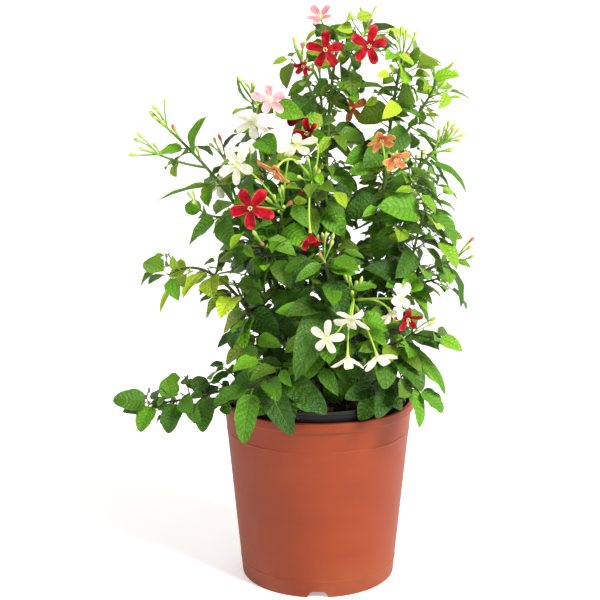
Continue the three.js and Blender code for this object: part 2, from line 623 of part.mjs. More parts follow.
function bloomSolid(spec, stalk, draw) {
  const { control, direction, look, face, mouth } = stalk;
  const size = spec.size;
  const curve = new THREE.QuadraticBezierCurve3(mouth, control, along(face, look, -tube.end));
  const fifth = (2 * Math.PI) / tube.sides;
  const spin = spec.spin === undefined ? (draw() * fifth) / 2 : THREE.MathUtils.degToRad(spec.spin);
  const side = across(look, up).applyAxisAngle(look, spin);
  const other = new THREE.Vector3().crossVectors(look, side);
  const points = [];
  const faces = [];
  const add = (ring) => ring.map((point) => points.push(point) - 1);
  const radial = (angle) => along(side.clone().multiplyScalar(Math.cos(angle)), other, Math.sin(angle));
  const rings = tube.radii.map((radius, i) => {
    const t = i / tube.radii.length;
    const axis = i ? curve.getTangent(t) : direction;
    return add(ringRound(curve.getPoint(t), axis, across(axis, side), radius, tube.sides));
  });
  const hub = petal.hub * Math.sqrt(size);
  const throat = add(Array.from({ length: tube.sides }, (_, i) => {
    return along(along(face, radial(i * fifth), hub), look, -tube.throat);
  }));
  cap(faces, [...rings[0]].reverse());
  [...rings, throat].reduce((below, above) => {
    bridge(faces, below, above);
    return above;
  });
  const notches = add(Array.from({ length: tube.sides }, (_, i) => {
    return along(face, radial((i - 0.5) * fifth), hub * 0.95);
  }));
  const ridges = add(Array.from({ length: tube.sides }, (_, i) => {
    return along(along(face, radial(i * fifth), hub), look, petal.halfThickness);
  }));
  const [centre] = add([along(face, look, petal.halfThickness)]);
  const open = THREE.MathUtils.degToRad(spec.open ?? petal.open);
  const loose = THREE.MathUtils.degToRad(Math.sin(open)); // the petals of an open flower stray most
  for (let i = 0; i < tube.sides; i++) {
    const next = (i + 1) % tube.sides;
    faces.push([centre, notches[i], ridges[i]], [centre, ridges[i], notches[next]]);
    faces.push([throat[(i + tube.sides - 1) % tube.sides], throat[i], notches[i]]);
    const angle = i * fifth + draw() * petalStray.turn * loose;
    const lean = Math.PI / 2 - open + draw() * petalStray.lean * loose;
    const length = petal.length * size * (1 + draw() * petalStray.length);
    const out = radial(angle);
    const sideways = radial(angle + Math.PI / 2);
    let middle = along(face, radial(i * fifth), hub);
    let reached = 0;
    let ring = [notches[i], throat[i], notches[next], ridges[i]];
    for (const [u, share] of petalStations.find(({ from }) => size >= from).stations) {
      const bend = lean - petal.curl * u;
      const way = out.clone().multiplyScalar(Math.cos(bend)).addScaledVector(look, Math.sin(bend));
      const normal = look.clone().multiplyScalar(Math.cos(bend)).addScaledVector(out, -Math.sin(bend));
      middle = along(middle, way, (u - reached) * length);
      reached = u;
      const half = (share * petal.width * size) / 2;
      const section = share
        ? [along(middle, sideways, -half), along(middle, normal, -petal.halfThickness),
          along(middle, sideways, half), along(middle, normal, petal.halfThickness)]
        : [middle];
      const added = add(section);
      bridge(faces, ring, added);
      ring = added;
    }
  }
  return body(points, faces);
}

function budRings(base, direction, length, stemRadius, grow = 0) {
  const side = across(direction, along(up, new THREE.Vector3(0.3, 0.2, 0), 1));
  const swollen = (bud.halfWidth * length) / bud.length + grow;
  const neck = along(base, direction, stemRadius + leafBlade.bare);
  return [
    ringRound(neck, direction, side, bud.neck + grow, pedicel.sides),
    ringRound(along(base, direction, length * bud.swelling), direction, side, swollen, pedicel.sides),
    [along(base, direction, length + grow)],
  ];
}

// The growth of the plant: everything that is placed is kept, so that what follows stays clear of it

const placed = [];

function boxOf(rings) {
  return new THREE.Box3().setFromPoints(rings.flat());
}

function keep(solid, box, node, stem = null) {
  placed.push({ solid, box, node, stem });
}

function keepSolid(solid, node, stem = null) {
  const { min, max } = solid.boundingBox();
  keep(solid, new THREE.Box3(vec(min), vec(max)), node, stem);
}

function isClear(rings, skip) {
  const box = boxOf(rings);
  const near = placed.filter((other) => !skip(other) && other.box.intersectsBox(box));
  if (!near.length) return true;
  const tested = loft(rings);
  const clear = near.every((other) => {
    const shared = tested.intersect(other.solid);
    const empty = shared.isEmpty();
    shared.delete();
    return empty;
  });
  tested.delete();
  return clear;
}

function leafIsClear(leaf, node, stem) {
  // The whole leaf stays clear of other nodes, and its blade of everything but its own stem.
  if (!isClear(bladeRings(leaf, clearance), (other) => other.node === node)) return false;
  return isClear(bladeRings(leaf, clearance, 1), (other) => other.node !== node || other.stem === stem);
}

const leafTries = [];
for (const share of attempts.shares) {
  for (const drop of attempts.drops) {
    for (const turn of attempts.turns) leafTries.push([share, turn, drop]);
  }
}

function growLeaf(wish, node, stem) {
  const reach = wish.tip.clone().sub(wish.base);
  const level = new THREE.Vector3().crossVectors(reach, up).normalize();
  const tries = wish.fixed ? leafTries.filter(([share]) => share > fixedShare) : leafTries;
  for (const [share, turn, drop] of tries) {
    const arm = reach.clone().applyAxisAngle(level, THREE.MathUtils.degToRad(-drop));
    arm.applyAxisAngle(up, THREE.MathUtils.degToRad(turn)).multiplyScalar(share);
    const leaf = { ...wish, tip: wish.base.clone().add(arm), width: wish.width * share };
    if (!leafIsClear(leaf, node, stem)) continue;
    const solid = leafSolid(leaf);
    keep(solid, boxOf([[leaf.base], ...bladeRings(leaf)]), node, stem);
    return solid;
  }
  return null;
}

function faceHint(tip, draw, fixed) {
  // A leaf turns its upper face up and outwards, to the light.
  if (fixed) return vec(fixed);
  const outward = new THREE.Vector3(tip.x, tip.y - habit.back, 0).normalize();
  const stray = vec([draw(), draw(), 0]).multiplyScalar(vary.face);
  return along(outward, up, habit.lift).add(stray);
}

function placedLeaf(stem, blade, draw) {
  const tip = vec(blade.tip);
  return {
    base: stem.pointAt(Math.min(blade.at, 0.995)), tip, face: faceHint(tip, draw, stem.spec.face), fixed: true,
    width: blade.width, arch: blade.arch ?? leafBlade.arch, stemRadius: stem.radiusAt(blade.at),
  };
}

function pairOfLeaves(stem, rule, index, draw) {
  const share = rule.pairs > 1 ? index / (rule.pairs - 1) : 0;
  const t = rule.first + (rule.last - rule.first) * share;
  const axis = stem.curve.getTangent(t);
  const upright = Math.abs(axis.z) > uprightFrom;
  const level = new THREE.Vector3().crossVectors(axis, up).normalize();
  const start = upright ? across(axis, new THREE.Vector3(1, 0, 0)) : level;
  const quarters = rule.turn + index * habit.quarterTurn;
  const turn = upright ? quarters + draw() * vary.uprightRoll : draw() * vary.roll;
  const roll = THREE.MathUtils.degToRad(turn);
  const length = rule.length[0] + (rule.length[1] - rule.length[0]) * share;
  const drop = rule.drop[0] + (rule.drop[1] - rule.drop[0]) * share;
  return [0, Math.PI].map((half) => {
    const out = start.clone().applyAxisAngle(axis, roll + half);
    const heading = along(out, axis, habit.forward).setZ(0).normalize();
    const pitch = THREE.MathUtils.degToRad(drop + draw() * vary.drop);
    const way = along(heading.multiplyScalar(Math.cos(pitch)), up, -Math.sin(pitch));
    const reach = length * (1 + draw() * vary.length);
    const base = stem.pointAt(t);
    const tip = along(base, way, reach);
    const wide = (rule.wide ?? leafWidthShare) * (1 + draw() * vary.width);
    const face = faceHint(tip, draw, stem.spec.face);
    const arch = leafBlade.arch + draw() * vary.arch;
    return { base, tip, face, width: reach * wide, arch, stemRadius: stem.radiusAt(t) };
  });
}

function growBuds(stem, cluster, node, draw) {
  const solids = [];
  const axis = stem.curve.getTangent(1);
  const side = across(axis, along(up, new THREE.Vector3(0.5, 0.1, 0), 1));
  for (let i = 0; i < cluster.count; i++) {
    const base = stem.pointAt(budSpread.from - budSpread.step * (i % budSpread.rows));
    for (const lean of bud.leans) {
      const tilt = THREE.MathUtils.degToRad(lean + draw() * budSpread.lean);
      const way = axis.clone().applyAxisAngle(side, tilt);
      way.applyAxisAngle(axis, i * bud.turn + draw() * budSpread.turn);
      const length = cluster.length * (1 + draw() * budSpread.length);
      const grown = budRings(base, way, length, stem.spec.radius[1], clearance);
      if (!isClear(grown, (other) => other.node === node && other.stem === stem)) continue;
      const rings = budRings(base, way, length, stem.spec.radius[1]);
      const solid = loft([[base], ...rings]);
      keep(solid, boxOf([[base], ...rings]), node, null);
      solids.push(solid);
      break;
    }
  }
  return solids;
}

// Assembly

const part = new THREE.Group();

function addNode(name, solid, finish) {
  const { vertProperties, triVerts } = solid.getMesh();
  const geometry = new THREE.BufferGeometry();
  geometry.setAttribute("position", new THREE.BufferAttribute(vertProperties, 3));
  geometry.setIndex(new THREE.BufferAttribute(triVerts, 1));
  geometry.computeVertexNormals();
  const mesh = new THREE.Mesh(geometry, new THREE.MeshStandardMaterial(finish));
  mesh.name = name;
  part.add(mesh);
}

const grown = Object.entries(shoots).map(([name, specs], number) => {
  const stems = [];
  for (const spec of specs) stems.push(stemOf(spec, stems));
  return { name, stems, solids: stems.map((stem) => stem.solid), draw: seededDraws(number + 1) };
});
const mainStems = grown.flatMap(({ stems }) => stems.filter((stem) => stem.hole));
const potSolids = [
  ["pot", outerPot(), "terracotta"],
  ["inner_pot", innerPot(), "black"],
  ["soil", soilFill(mainStems), "soil"],
];
for (const [name, solid, finish] of potSolids) {
  addNode(name, solid, colours[finish]);
  keepSolid(solid, name);
}
for (const { name, stems } of grown) for (const stem of stems) keepSolid(stem.solid, name, stem);

const petalDraw = seededDraws(grown.length + 1);
for (const [colour, group] of Object.entries(blooms)) {
  for (const [index, spec] of group.entries()) {
    const shoot = grown.find(({ name }) => name === spec.on[0]);
    const stalk = pedicelOf(spec, shoot.stems);
    shoot.solids.push(stalk.solid);
    keepSolid(stalk.solid, shoot.name, shoot.stems[spec.on[1]]);
    const solid = bloomSolid(spec, stalk, petalDraw);
    const name = `bloom_${colour}_${index + 1}`;
    addNode(name, solid, colours[colour]);
    keepSolid(solid, name);
  }
}

for (const { name, stems, solids, draw } of grown) {
  for (const stem of stems) if (stem.spec.buds) solids.push(...growBuds(stem, stem.spec.buds, name, draw));
}
for (const { name, stems, solids, draw } of grown) {
  for (const stem of stems) {
    const wishes = (stem.spec.blades ?? []).map((blade) => placedLeaf(stem, blade, draw));
    solids.push(...wishes.map((wish) => growLeaf(wish, name, stem)).filter(Boolean));
  }
}
for (const { name, stems, solids, draw } of grown) {
  for (const stem of stems) {
    const rule = stem.spec.leaves;
    for (let index = 0; index < rule.pairs; index++) {
      const pair = pairOfLeaves(stem, rule, index, draw);
      solids.push(...pair.map((wish) => growLeaf(wish, name, stem)).filter(Boolean));
    }
  }
}
for (const { name, solids } of grown) {
  addNode(name, solids.reduce((whole, solid) => whole.add(solid)), colours.leaf);
}

export default part;
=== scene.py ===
# %% [markdown]
# # A potted rangoon creeper
# A rangoon creeper is a climbing shrub: thin woody shoots, leaves in opposite pairs, and clusters of
# flowers that hang on long thin tubes and change from white through pink to red as they age. This one
# grows in a black grower's pot that stands in a terracotta-coloured plastic one.
#
# The CAD frame already holds the plant's real form: every shoot, large leaf, bud and flower as a plain
# faceted solid. Here each of them gets its finer form. A leaf could be modelled once and scattered, but then
# it would not sit where the solid sits. So each leaf, petal and tube is read from its own solid and built
# again on the same lines, and only what a real plant has besides is grown by rule.

# %% the frame
import json
import math

import bmesh
import bpy
import numpy as np
from mathutils import Matrix, Vector
from mathutils.bvhtree import BVHTree

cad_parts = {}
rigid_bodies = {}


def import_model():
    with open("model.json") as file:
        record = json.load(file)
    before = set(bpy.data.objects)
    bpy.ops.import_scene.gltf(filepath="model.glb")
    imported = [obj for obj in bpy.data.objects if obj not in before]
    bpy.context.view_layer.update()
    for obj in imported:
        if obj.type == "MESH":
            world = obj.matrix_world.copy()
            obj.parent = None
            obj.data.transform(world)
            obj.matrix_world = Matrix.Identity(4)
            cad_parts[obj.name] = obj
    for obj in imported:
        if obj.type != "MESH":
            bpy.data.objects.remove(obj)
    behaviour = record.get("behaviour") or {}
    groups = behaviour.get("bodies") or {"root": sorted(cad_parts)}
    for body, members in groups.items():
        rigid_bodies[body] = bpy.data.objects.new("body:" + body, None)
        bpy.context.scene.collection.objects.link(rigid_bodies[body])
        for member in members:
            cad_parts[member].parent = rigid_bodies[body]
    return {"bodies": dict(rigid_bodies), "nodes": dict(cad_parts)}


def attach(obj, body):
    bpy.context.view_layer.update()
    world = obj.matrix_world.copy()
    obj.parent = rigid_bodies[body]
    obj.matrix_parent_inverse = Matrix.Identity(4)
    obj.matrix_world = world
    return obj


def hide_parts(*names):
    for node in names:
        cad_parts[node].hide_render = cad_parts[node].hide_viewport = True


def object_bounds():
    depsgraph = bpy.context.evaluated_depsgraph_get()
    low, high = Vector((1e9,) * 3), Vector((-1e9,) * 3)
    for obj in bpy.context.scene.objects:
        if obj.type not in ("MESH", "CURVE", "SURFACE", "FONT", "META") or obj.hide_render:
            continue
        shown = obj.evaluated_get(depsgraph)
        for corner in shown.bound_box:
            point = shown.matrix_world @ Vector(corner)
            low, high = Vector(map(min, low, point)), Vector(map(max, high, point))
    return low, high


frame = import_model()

MM = 0.001
for thing in list(bpy.data.objects):
    if thing.name not in frame["nodes"] and thing not in frame["bodies"].values():
        bpy.data.objects.remove(thing)
cad_box = [list(corner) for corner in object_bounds()]
print("frame:", len(frame["nodes"]), "nodes, box", cad_box)

# %% [markdown]
# ## Nodes written as sums
# Materials and Geometry Nodes are both graphs, and arithmetic in a graph is hard to read as a list of links.
# It could be wired node by node. Instead `Wire` wraps a socket, so that `1 - mask` adds its own Math node, and
# `Board.node` adds any other node with its settings first and its sockets after.

# %% wires and boards
class Wire:
    """A socket on a board: each arithmetic sign on it adds a Math node."""

    def __init__(self, board, socket):
        self.board = board
        self.socket = socket

    def sum(self, operation, first, second):
        return self.board.node("ShaderNodeMath", {"operation": operation}, {0: first, 1: second})

    def __add__(self, other):
        return self.sum("ADD", self, other)

    def __radd__(self, other):
        return self.sum("ADD", other, self)

    def __sub__(self, other):
        return self.sum("SUBTRACT", self, other)

    def __rsub__(self, other):
        return self.sum("SUBTRACT", other, self)

    def __mul__(self, other):
        return self.sum("MULTIPLY", self, other)

    def __rmul__(self, other):
        return self.sum("MULTIPLY", other, self)

    def magnitude(self):
        return self.board.node("ShaderNodeMath", {"operation": "ABSOLUTE"}, {0: self})

    def wave(self):
        return self.board.node("ShaderNodeMath", {"operation": "SINE"}, {0: self})

    def at_least(self, other):
        return self.sum("MAXIMUM", self, other)


class Board:
    """A node tree that is built by calls."""

    def __init__(self, tree):
        self.tree = tree

    def node(self, kind, settings=None, inputs=None, out=0):
        node = self.tree.nodes.new(kind)
        for key, value in (settings or {}).items():
            setattr(node, key, value)
        for key, value in (inputs or {}).items():
            if isinstance(value, Wire):
                self.tree.links.new(value.socket, node.inputs[key])
            else:
                node.inputs[key].default_value = value
        return Wire(self, node.outputs[out])


print("wires and boards are ready")

# %% [markdown]
# ## Finishes
# A leaf's green, a petal's red and the pots' plastic are each one material. Colours are written the way a
# paint chip gives them and turned to light values here, because Blender's sockets take light values.

# %% colour and surface helpers
def paint(chip):
    """A six-digit colour as the linear values that a socket takes."""
    shades = [int(chip[i:i + 2], 16) / 255 for i in (0, 2, 4)]
    return (*[((s + 0.055) / 1.055) ** 2.4 if s > 0.04045 else s / 12.92 for s in shades], 1.0)


class Finish(Board):
    """A material with one Principled shader."""

    def __init__(self, name, **constants):
        self.material = bpy.data.materials.new(name)
        self.material.use_nodes = True
        super().__init__(self.material.node_tree)
        self.shader = self.tree.nodes["Principled BSDF"]
        for key, value in constants.items():
            self.shader.inputs[key.replace("_", " ").title().replace("Ior", "IOR")].default_value = value

    def feed(self, name, wire):
        self.tree.links.new(wire.socket, self.shader.inputs[name])

    def place(self):
        return self.node("ShaderNodeTexCoord", out="Object")

    def part(self, vector, axis):
        return self.node("ShaderNodeSeparateXYZ", inputs={"Vector": vector}, out=axis)

    def stretched(self, coordinates, scale):
        return self.node("ShaderNodeMapping", inputs={"Vector": coordinates, "Scale": scale})

    def noise(self, coordinates, scale, detail=3, roughness=0.55):
        inputs = {"Vector": coordinates, "Scale": scale, "Detail": detail, "Roughness": roughness}
        return self.node("ShaderNodeTexNoise", inputs=inputs, out="Fac")

    def span(self, value, low, high, start=0.0, end=1.0):
        inputs = {"Value": value, "From Min": low, "From Max": high, "To Min": start, "To Max": end}
        return self.node("ShaderNodeMapRange", {"interpolation_type": "SMOOTHSTEP"}, inputs)

    def mix(self, first, second, share):
        return self.node("ShaderNodeMix", {"data_type": "RGBA"}, {0: share, 6: first, 7: second}, out=2)

    def relief(self, height, depth):
        inputs = {"Height": height, "Distance": depth, "Strength": 1.0}
        self.feed("Normal", self.node("ShaderNodeBump", inputs=inputs))


print("first chip as light:", [round(v, 3) for v in paint("b5602f")])

# %% [markdown]
# ### Plastic, soil and bark
# The outer pot is satin moulded plastic: even in colour, with faint flow streaks round it and a little dust
# near its foot. Object coordinates are stretched along the height, so that the streaks run round.
# The inner pot is the same kind of plastic in black. Soil and bark are rough and broken in tone.

# %% plastic, soil and bark
def plastic(name, deep, plain, dust, roughness):
    finish = Finish(name, specular_ior_level=0.28)
    place = finish.place()
    streaks = finish.noise(finish.stretched(place, (6.0, 6.0, 90.0)), 1.0, 4)
    clouds = finish.noise(place, 14.0, 3)
    grain = finish.noise(place, 1400.0, 2)
    body = finish.mix(paint(deep), paint(plain), finish.span(streaks * 0.3 + clouds * 0.7, 0.2, 0.8))
    height = finish.part(place, "Z")
    low = finish.span(height, 0.0, 0.05, 1.0, 0.0) * finish.span(clouds, 0.35, 0.7)
    finish.feed("Base Color", finish.mix(body, paint(dust), low * 0.35))
    finish.feed("Roughness", roughness + streaks * 0.12 + low * 0.2)
    finish.relief(streaks * 0.15 + grain * 0.1, 0.0003)
    return finish.material


def earthy(name, dark, plain, pale, scale, depth, green=None):
    """A rough broken finish. With a green chip it turns to it from 30 to 50 cm up, as young bark does."""
    finish = Finish(name, roughness=0.95)
    place = finish.place()
    clumps = finish.noise(place, scale, 5, 0.65)
    specks = finish.noise(place, scale * 5, 3, 0.7)
    body = finish.mix(paint(dark), paint(plain), finish.span(clumps, 0.35, 0.62))
    body = finish.mix(body, paint(pale), finish.span(specks, 0.6, 0.75) * 0.7)
    if green:
        height = finish.part(place, "Z") + clumps * 0.1
        body = finish.mix(body, paint(green), finish.span(height, 0.3, 0.52))
    finish.feed("Base Color", body)
    finish.relief(clumps + specks * 0.4, depth)
    return finish.material


terracotta = plastic("pot_orange", "76290a", "84330f", "96603f", 0.48)
black = plastic("pot_black", "0e0f11", "1b1c1f", "3a3530", 0.4)
mix_soil = earthy("soil_brown", "24150e", "54321f", "8a5f42", 160.0, 0.0015)
litter = earthy("dry_litter", "4a3018", "8d6236", "b98f5c", 220.0, 0.0004)
bark = earthy("bark", "231d12", "3f3c1c", "6b6a30", 260.0, 0.0003, green="4f6d22")
print("plain finishes:", [m.name for m in (terracotta, black, mix_soil, litter, bark)])

# %% [markdown]
# ### Leaves
# A rangoon creeper's leaf is quilted: the midrib and eight or so pairs of side veins are sunk, and the blade
# swells between them. The big swells are in the mesh. The finish adds what is finer, drawn on the leaf's own
# UV map, where x runs across the blade and y from stalk to tip: a fine net, and painted shade that darkens the
# sunk veins and the net. An attribute says how light the leaf is painted, partly at random and partly as
# painted shade deep and low in the crown and painted light at its top and outside, how young it is, and which
# side faces down: young leaves are lime with a touch of bronze, and undersides are pale.

# %% leaf finish
VEIN_PAIRS = 8
VEIN_SLANT = 0.17


def leaf_finish():
    finish = Finish("leaf_green", specular_ior_level=0.3)
    uv = finish.node("ShaderNodeTexCoord", out="UV")
    across = finish.part(uv, "X")
    along = finish.part(uv, "Y")
    side = (across * 2.0 - 1.0).magnitude()
    growth = finish.node("ShaderNodeAttribute", {"attribute_name": "growth"}, out="Vector")
    tone_and_shade, age, under = (finish.part(growth, axis) for axis in "XYZ")
    slanted = along - side * (side * 0.35 + 0.8) * VEIN_SLANT
    ribs = (slanted * (VEIN_PAIRS * math.pi)).wave().magnitude()
    side_vein = finish.span(ribs, 0.0, 0.22, 1.0, 0.0) * finish.span(side, 0.75, 1.0, 1.0, 0.2)
    midrib = finish.span(side, 0.02, 0.08, 1.0, 0.0)
    veins = midrib.at_least(side_vein * 0.6)
    place = finish.place()
    mottle = finish.noise(place, 90.0, 3)
    cells = {"Vector": place, "Scale": 300.0}
    net = finish.node("ShaderNodeTexVoronoi", {"feature": "DISTANCE_TO_EDGE"}, cells)
    # painted light and shade: the leaf is darker deep and low in the crown and lighter at its top and outside,
    # besides a random part of its own
    green = finish.mix(paint("0d3304"), paint("70b414"), tone_and_shade * 0.95 + mottle * 0.2)
    green = finish.mix(green, paint("b6d22c"), finish.span(age, 0.15, 0.9))
    green = finish.mix(green, paint("a98a45"), finish.span(age, 0.85, 1.1) * finish.span(side, 0.3, 1.0))
    green = finish.mix(green, paint("7f9f4a"), under * 0.4)
    # painted shade: the sunk veins, the midrib and the fine net between them are darkened
    painted_vein_shade = paint("0c2a06")
    green = finish.mix(green, finish.mix(green, painted_vein_shade, 0.7), side_vein.at_least(midrib) * 0.5)
    meshes = finish.span(net, 0.0, 0.12, 0.36, 0.0)
    green = finish.mix(green, finish.mix(green, painted_vein_shade, 0.5), meshes)
    pale_rib = midrib * (under * 0.3 + age * 0.2 + 0.08)
    finish.feed("Base Color", finish.mix(green, paint("9fc257"), pale_rib))
    finish.feed("Roughness", 0.42 + mottle * 0.16 + under * 0.2)
    finish.relief(finish.span(net, 0.0, 0.3) * 0.8 - veins * 1.1 + mottle * 0.2, 0.0005)
    return finish.material


leaf_green = leaf_finish()
print("veins in pairs on the leaf:", VEIN_PAIRS)

# %% [markdown]
# ### Petals, tubes and buds
# A petal is thin and matt, with fine streaks from its claw to its tip and a margin that pales in patches. The
# four stages of the flower share one way of painting, with their own chips.

# %% petal finishes
def petal_finish(name, claw, deep, plain, pale):
    finish = Finish(name, roughness=0.6, specular_ior_level=0.12)
    uv = finish.node("ShaderNodeTexCoord", out="UV")
    across = finish.part(uv, "X")
    along = finish.part(uv, "Y")
    streaks = finish.noise(finish.stretched(uv, (16.0, 1.6, 1.0)), 1.0, 3)
    clouds = finish.noise(finish.place(), 120.0, 2)
    body = finish.mix(paint(deep), paint(plain), finish.span(streaks * 0.5 + clouds * 0.5, 0.36, 0.6))
    rim = finish.span((across * 2.0 - 1.0).magnitude().at_least(along), 0.72, 1.0)
    body = finish.mix(body, paint(pale), rim * finish.span(clouds, 0.35, 0.6) * 0.8)
    finish.feed("Base Color", finish.mix(paint(claw), body, finish.span(along, 0.0, 0.22)))
    finish.relief(streaks + clouds * 0.4, 0.0003)
    return finish.material


petals = {
    "red": petal_finish("red_petal", "7a1a18", "4a0006", "a20012", "dc4058"),
    "white": petal_finish("white_petal", "c9d096", "cfcbb2", "e6e3d4", "efece0"),
    "peach": petal_finish("peach_petal", "b03024", "b05028", "cc8050", "dcae84"),
    "pink": petal_finish("pink_petal", "e8d2b8", "cf6a78", "e69aa0", "eec4be"),
}


def tender_finish(name, base, end, low, high):
    """A smooth young skin that turns from one chip to another along its UV."""
    finish = Finish(name, roughness=0.48, subsurface_weight=0.08, subsurface_scale=0.002)
    uv = finish.node("ShaderNodeTexCoord", out="UV")
    along = finish.part(uv, "Y")
    clouds = finish.noise(finish.place(), 150.0, 2)
    share = finish.span(along + clouds * 0.2 - 0.1, low, high)
    finish.feed("Base Color", finish.mix(paint(base), paint(end), share))
    finish.relief(clouds, 0.0002)
    return finish.material


tube_green = tender_finish("flower_tube", "79a828", "a4bf42", 0.1, 0.9)
bud_skin = tender_finish("bud_skin", "6a9a24", "aabf58", 0.4, 1.0)
bud_blush = tender_finish("bud_blush", "93b04a", "c4504c", 0.5, 1.0)
anther = tender_finish("anther", "d8dc9a", "c9a544", 0.5, 0.9)
print("petal finishes:", sorted(petals))

# %% [markdown]
# ## The outer pot
# The real pot is injection-moulded: a thin wall that widens upwards, a rim band that stands a little proud, a
# faint raised line below it and another above the foot, and drain notches pressed into the bottom edge. A
# wall like this could be a solidified cone. A turned profile is used because it carries the band, both lines
# and the hollow underside in one closed line, and small extra points round every edge.

# %% turning a profile
def turned(profile, turns):
    """A closed turned mesh from (radius, height) points in millimetres that start and end on the axis."""
    points = []
    rings = []
    for radius, height in profile:
        count = 1 if radius == 0 else turns
        rings.append([len(points) + i for i in range(count)])
        for i in range(count):
            angle = 2 * math.pi * i / turns
            points.append((radius * MM * math.cos(angle), radius * MM * math.sin(angle), height * MM))
    faces = []
    for low, high in zip(rings, rings[1:]):
        for i in range(turns):
            k = (i + 1) % turns
            if len(low) == 1:
                faces.append((low[0], high[k], high[i]))
            elif len(high) == 1:
                faces.append((low[i], low[k], high[0]))
            else:
                faces.append((low[i], low[k], high[k], high[i]))
    mesh = bpy.data.meshes.new("turned")
    mesh.from_pydata(points, [], faces)
    return mesh


def eased(corners, radius, steps=3):
    """The profile with each inner corner rounded, where there is room for it."""
    out = [corners[0]]
    for before, corner, after in zip(corners, corners[1:], corners[2:]):
        here, back, forth = np.array(corner, float), np.array(before, float), np.array(after, float)
        room = min(np.linalg.norm(back - here), np.linalg.norm(forth - here)) * 0.45
        reach = min(radius, room)
        start = here + (back - here) / np.linalg.norm(back - here) * reach
        end = here + (forth - here) / np.linalg.norm(forth - here) * reach
        for i in range(steps + 1):
            t = i / steps
            out.append(tuple((1 - t) ** 2 * start + 2 * t * (1 - t) * here + t * t * end))
    return [*out, corners[-1]]


def add_piece(name, mesh, finishes, slot, nodes, smooth_angle=40):
    """A finished object at the origin that stands for CAD nodes."""
    piece = bpy.data.objects.new(name, mesh)
    bpy.context.scene.collection.objects.link(piece)
    for finish in finishes:
        mesh.materials.append(finish)
    mesh.shade_smooth()
    if smooth_angle:
        mesh.set_sharp_from_angle(angle=math.radians(smooth_angle))
    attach(piece, "root")
    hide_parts(*nodes)
    return piece


def faced_out(mesh):
    """The mesh with its doubles merged and its faces turned outwards."""
    work = bmesh.new()
    work.from_mesh(mesh)
    bmesh.ops.remove_doubles(work, verts=work.verts, dist=1e-7)
    bmesh.ops.recalc_face_normals(work, faces=work.faces)
    work.to_mesh(mesh)
    work.free()
    return mesh


def cut(mesh, cutters):
    """The mesh with closed cutter meshes taken away."""
    body = bpy.data.objects.new("body", mesh)
    tool = bpy.data.objects.new("tool", joined(cutters))
    for thing in (body, tool):
        bpy.context.scene.collection.objects.link(thing)
    modifier = body.modifiers.new("holes", "BOOLEAN")
    modifier.operation = "DIFFERENCE"
    modifier.solver = "EXACT"
    modifier.object = tool
    graph = bpy.context.evaluated_depsgraph_get()
    made = bpy.data.meshes.new_from_object(body.evaluated_get(graph))
    for thing in (body, tool):
        bpy.data.objects.remove(thing)
    return made


def joined(meshes):
    work = bmesh.new()
    for mesh in meshes:
        work.from_mesh(mesh)
    whole = bpy.data.meshes.new("joined")
    work.to_mesh(whole)
    work.free()
    return whole


def prism(outline, start, end):
    """A closed prism of an (x, z) outline in millimetres, between two y values."""
    count = len(outline)
    points = [(x * MM, y * MM, z * MM) for y in (start, end) for x, z in outline]
    faces = [tuple(range(count)), tuple(range(2 * count - 1, count - 1, -1))]
    for i in range(count):
        k = (i + 1) % count
        faces.append((i, i + count, k + count, k))
    mesh = bpy.data.meshes.new("prism")
    mesh.from_pydata(points, [], faces)
    return faced_out(mesh)


print("a rounded corner takes", len(eased([(0, 0), (10, 0), (10, 10)], 2)) - 2, "points")

# %% the outer pot
POT = {"height": 190, "rim": 100, "base": 80, "wall": 2.4, "band": 10, "proud": 2.2}
FOOT = {"height": 7, "ring": 7, "disc": 54, "slope": 4, "notches": 4, "wide": 22, "high": 6.6}
DRAIN = {"radius": 4.5, "distance": 64, "count": 4, "turn": 0.4}
LINES = (17, 158)
TURNS = 144


def wall_at(height):
    """The outer pot's outside radius at a height, below its band."""
    return POT["base"] + (POT["rim"] - POT["proud"] - POT["base"]) * height / POT["height"]


def raised_line(height, lift=0.35, wide=2.2):
    """A low moulded line on the outside of the wall."""
    low, high = height - wide / 2, height + wide / 2
    slope = 0.5
    crest = [(wall_at(low) + lift, low + slope), (wall_at(high) + lift, high - slope)]
    return [(wall_at(low), low), *crest, (wall_at(high), high)]


def drain_cutters():
    cutters = []
    for i in range(DRAIN["count"]):
        angle = 2 * math.pi * i / DRAIN["count"] + DRAIN["turn"]
        mesh = turned([(0, -30), (DRAIN["radius"], -30), (DRAIN["radius"], 30), (0, 30)], 24)
        spot = (DRAIN["distance"] * MM * math.cos(angle), DRAIN["distance"] * MM * math.sin(angle), 0)
        mesh.transform(Matrix.Translation(spot))
        cutters.append(faced_out(mesh))
    return cutters


def notch_cutters():
    half, high = FOOT["wide"] / 2, FOOT["high"]
    shoulder = half - 3.4
    arch = [(-half, -2), (-half, 0), (-shoulder, high), (shoulder, high), (half, 0), (half, -2)]
    outline = eased(arch, 3.2, 5)
    cutters = []
    for i in range(FOOT["notches"]):
        mesh = prism(outline, -(POT["base"] + 4), -(POT["base"] - FOOT["ring"] - 2.5))
        mesh.transform(Matrix.Rotation(2 * math.pi * i / FOOT["notches"], 4, "Z"))
        cutters.append(mesh)
    return cutters


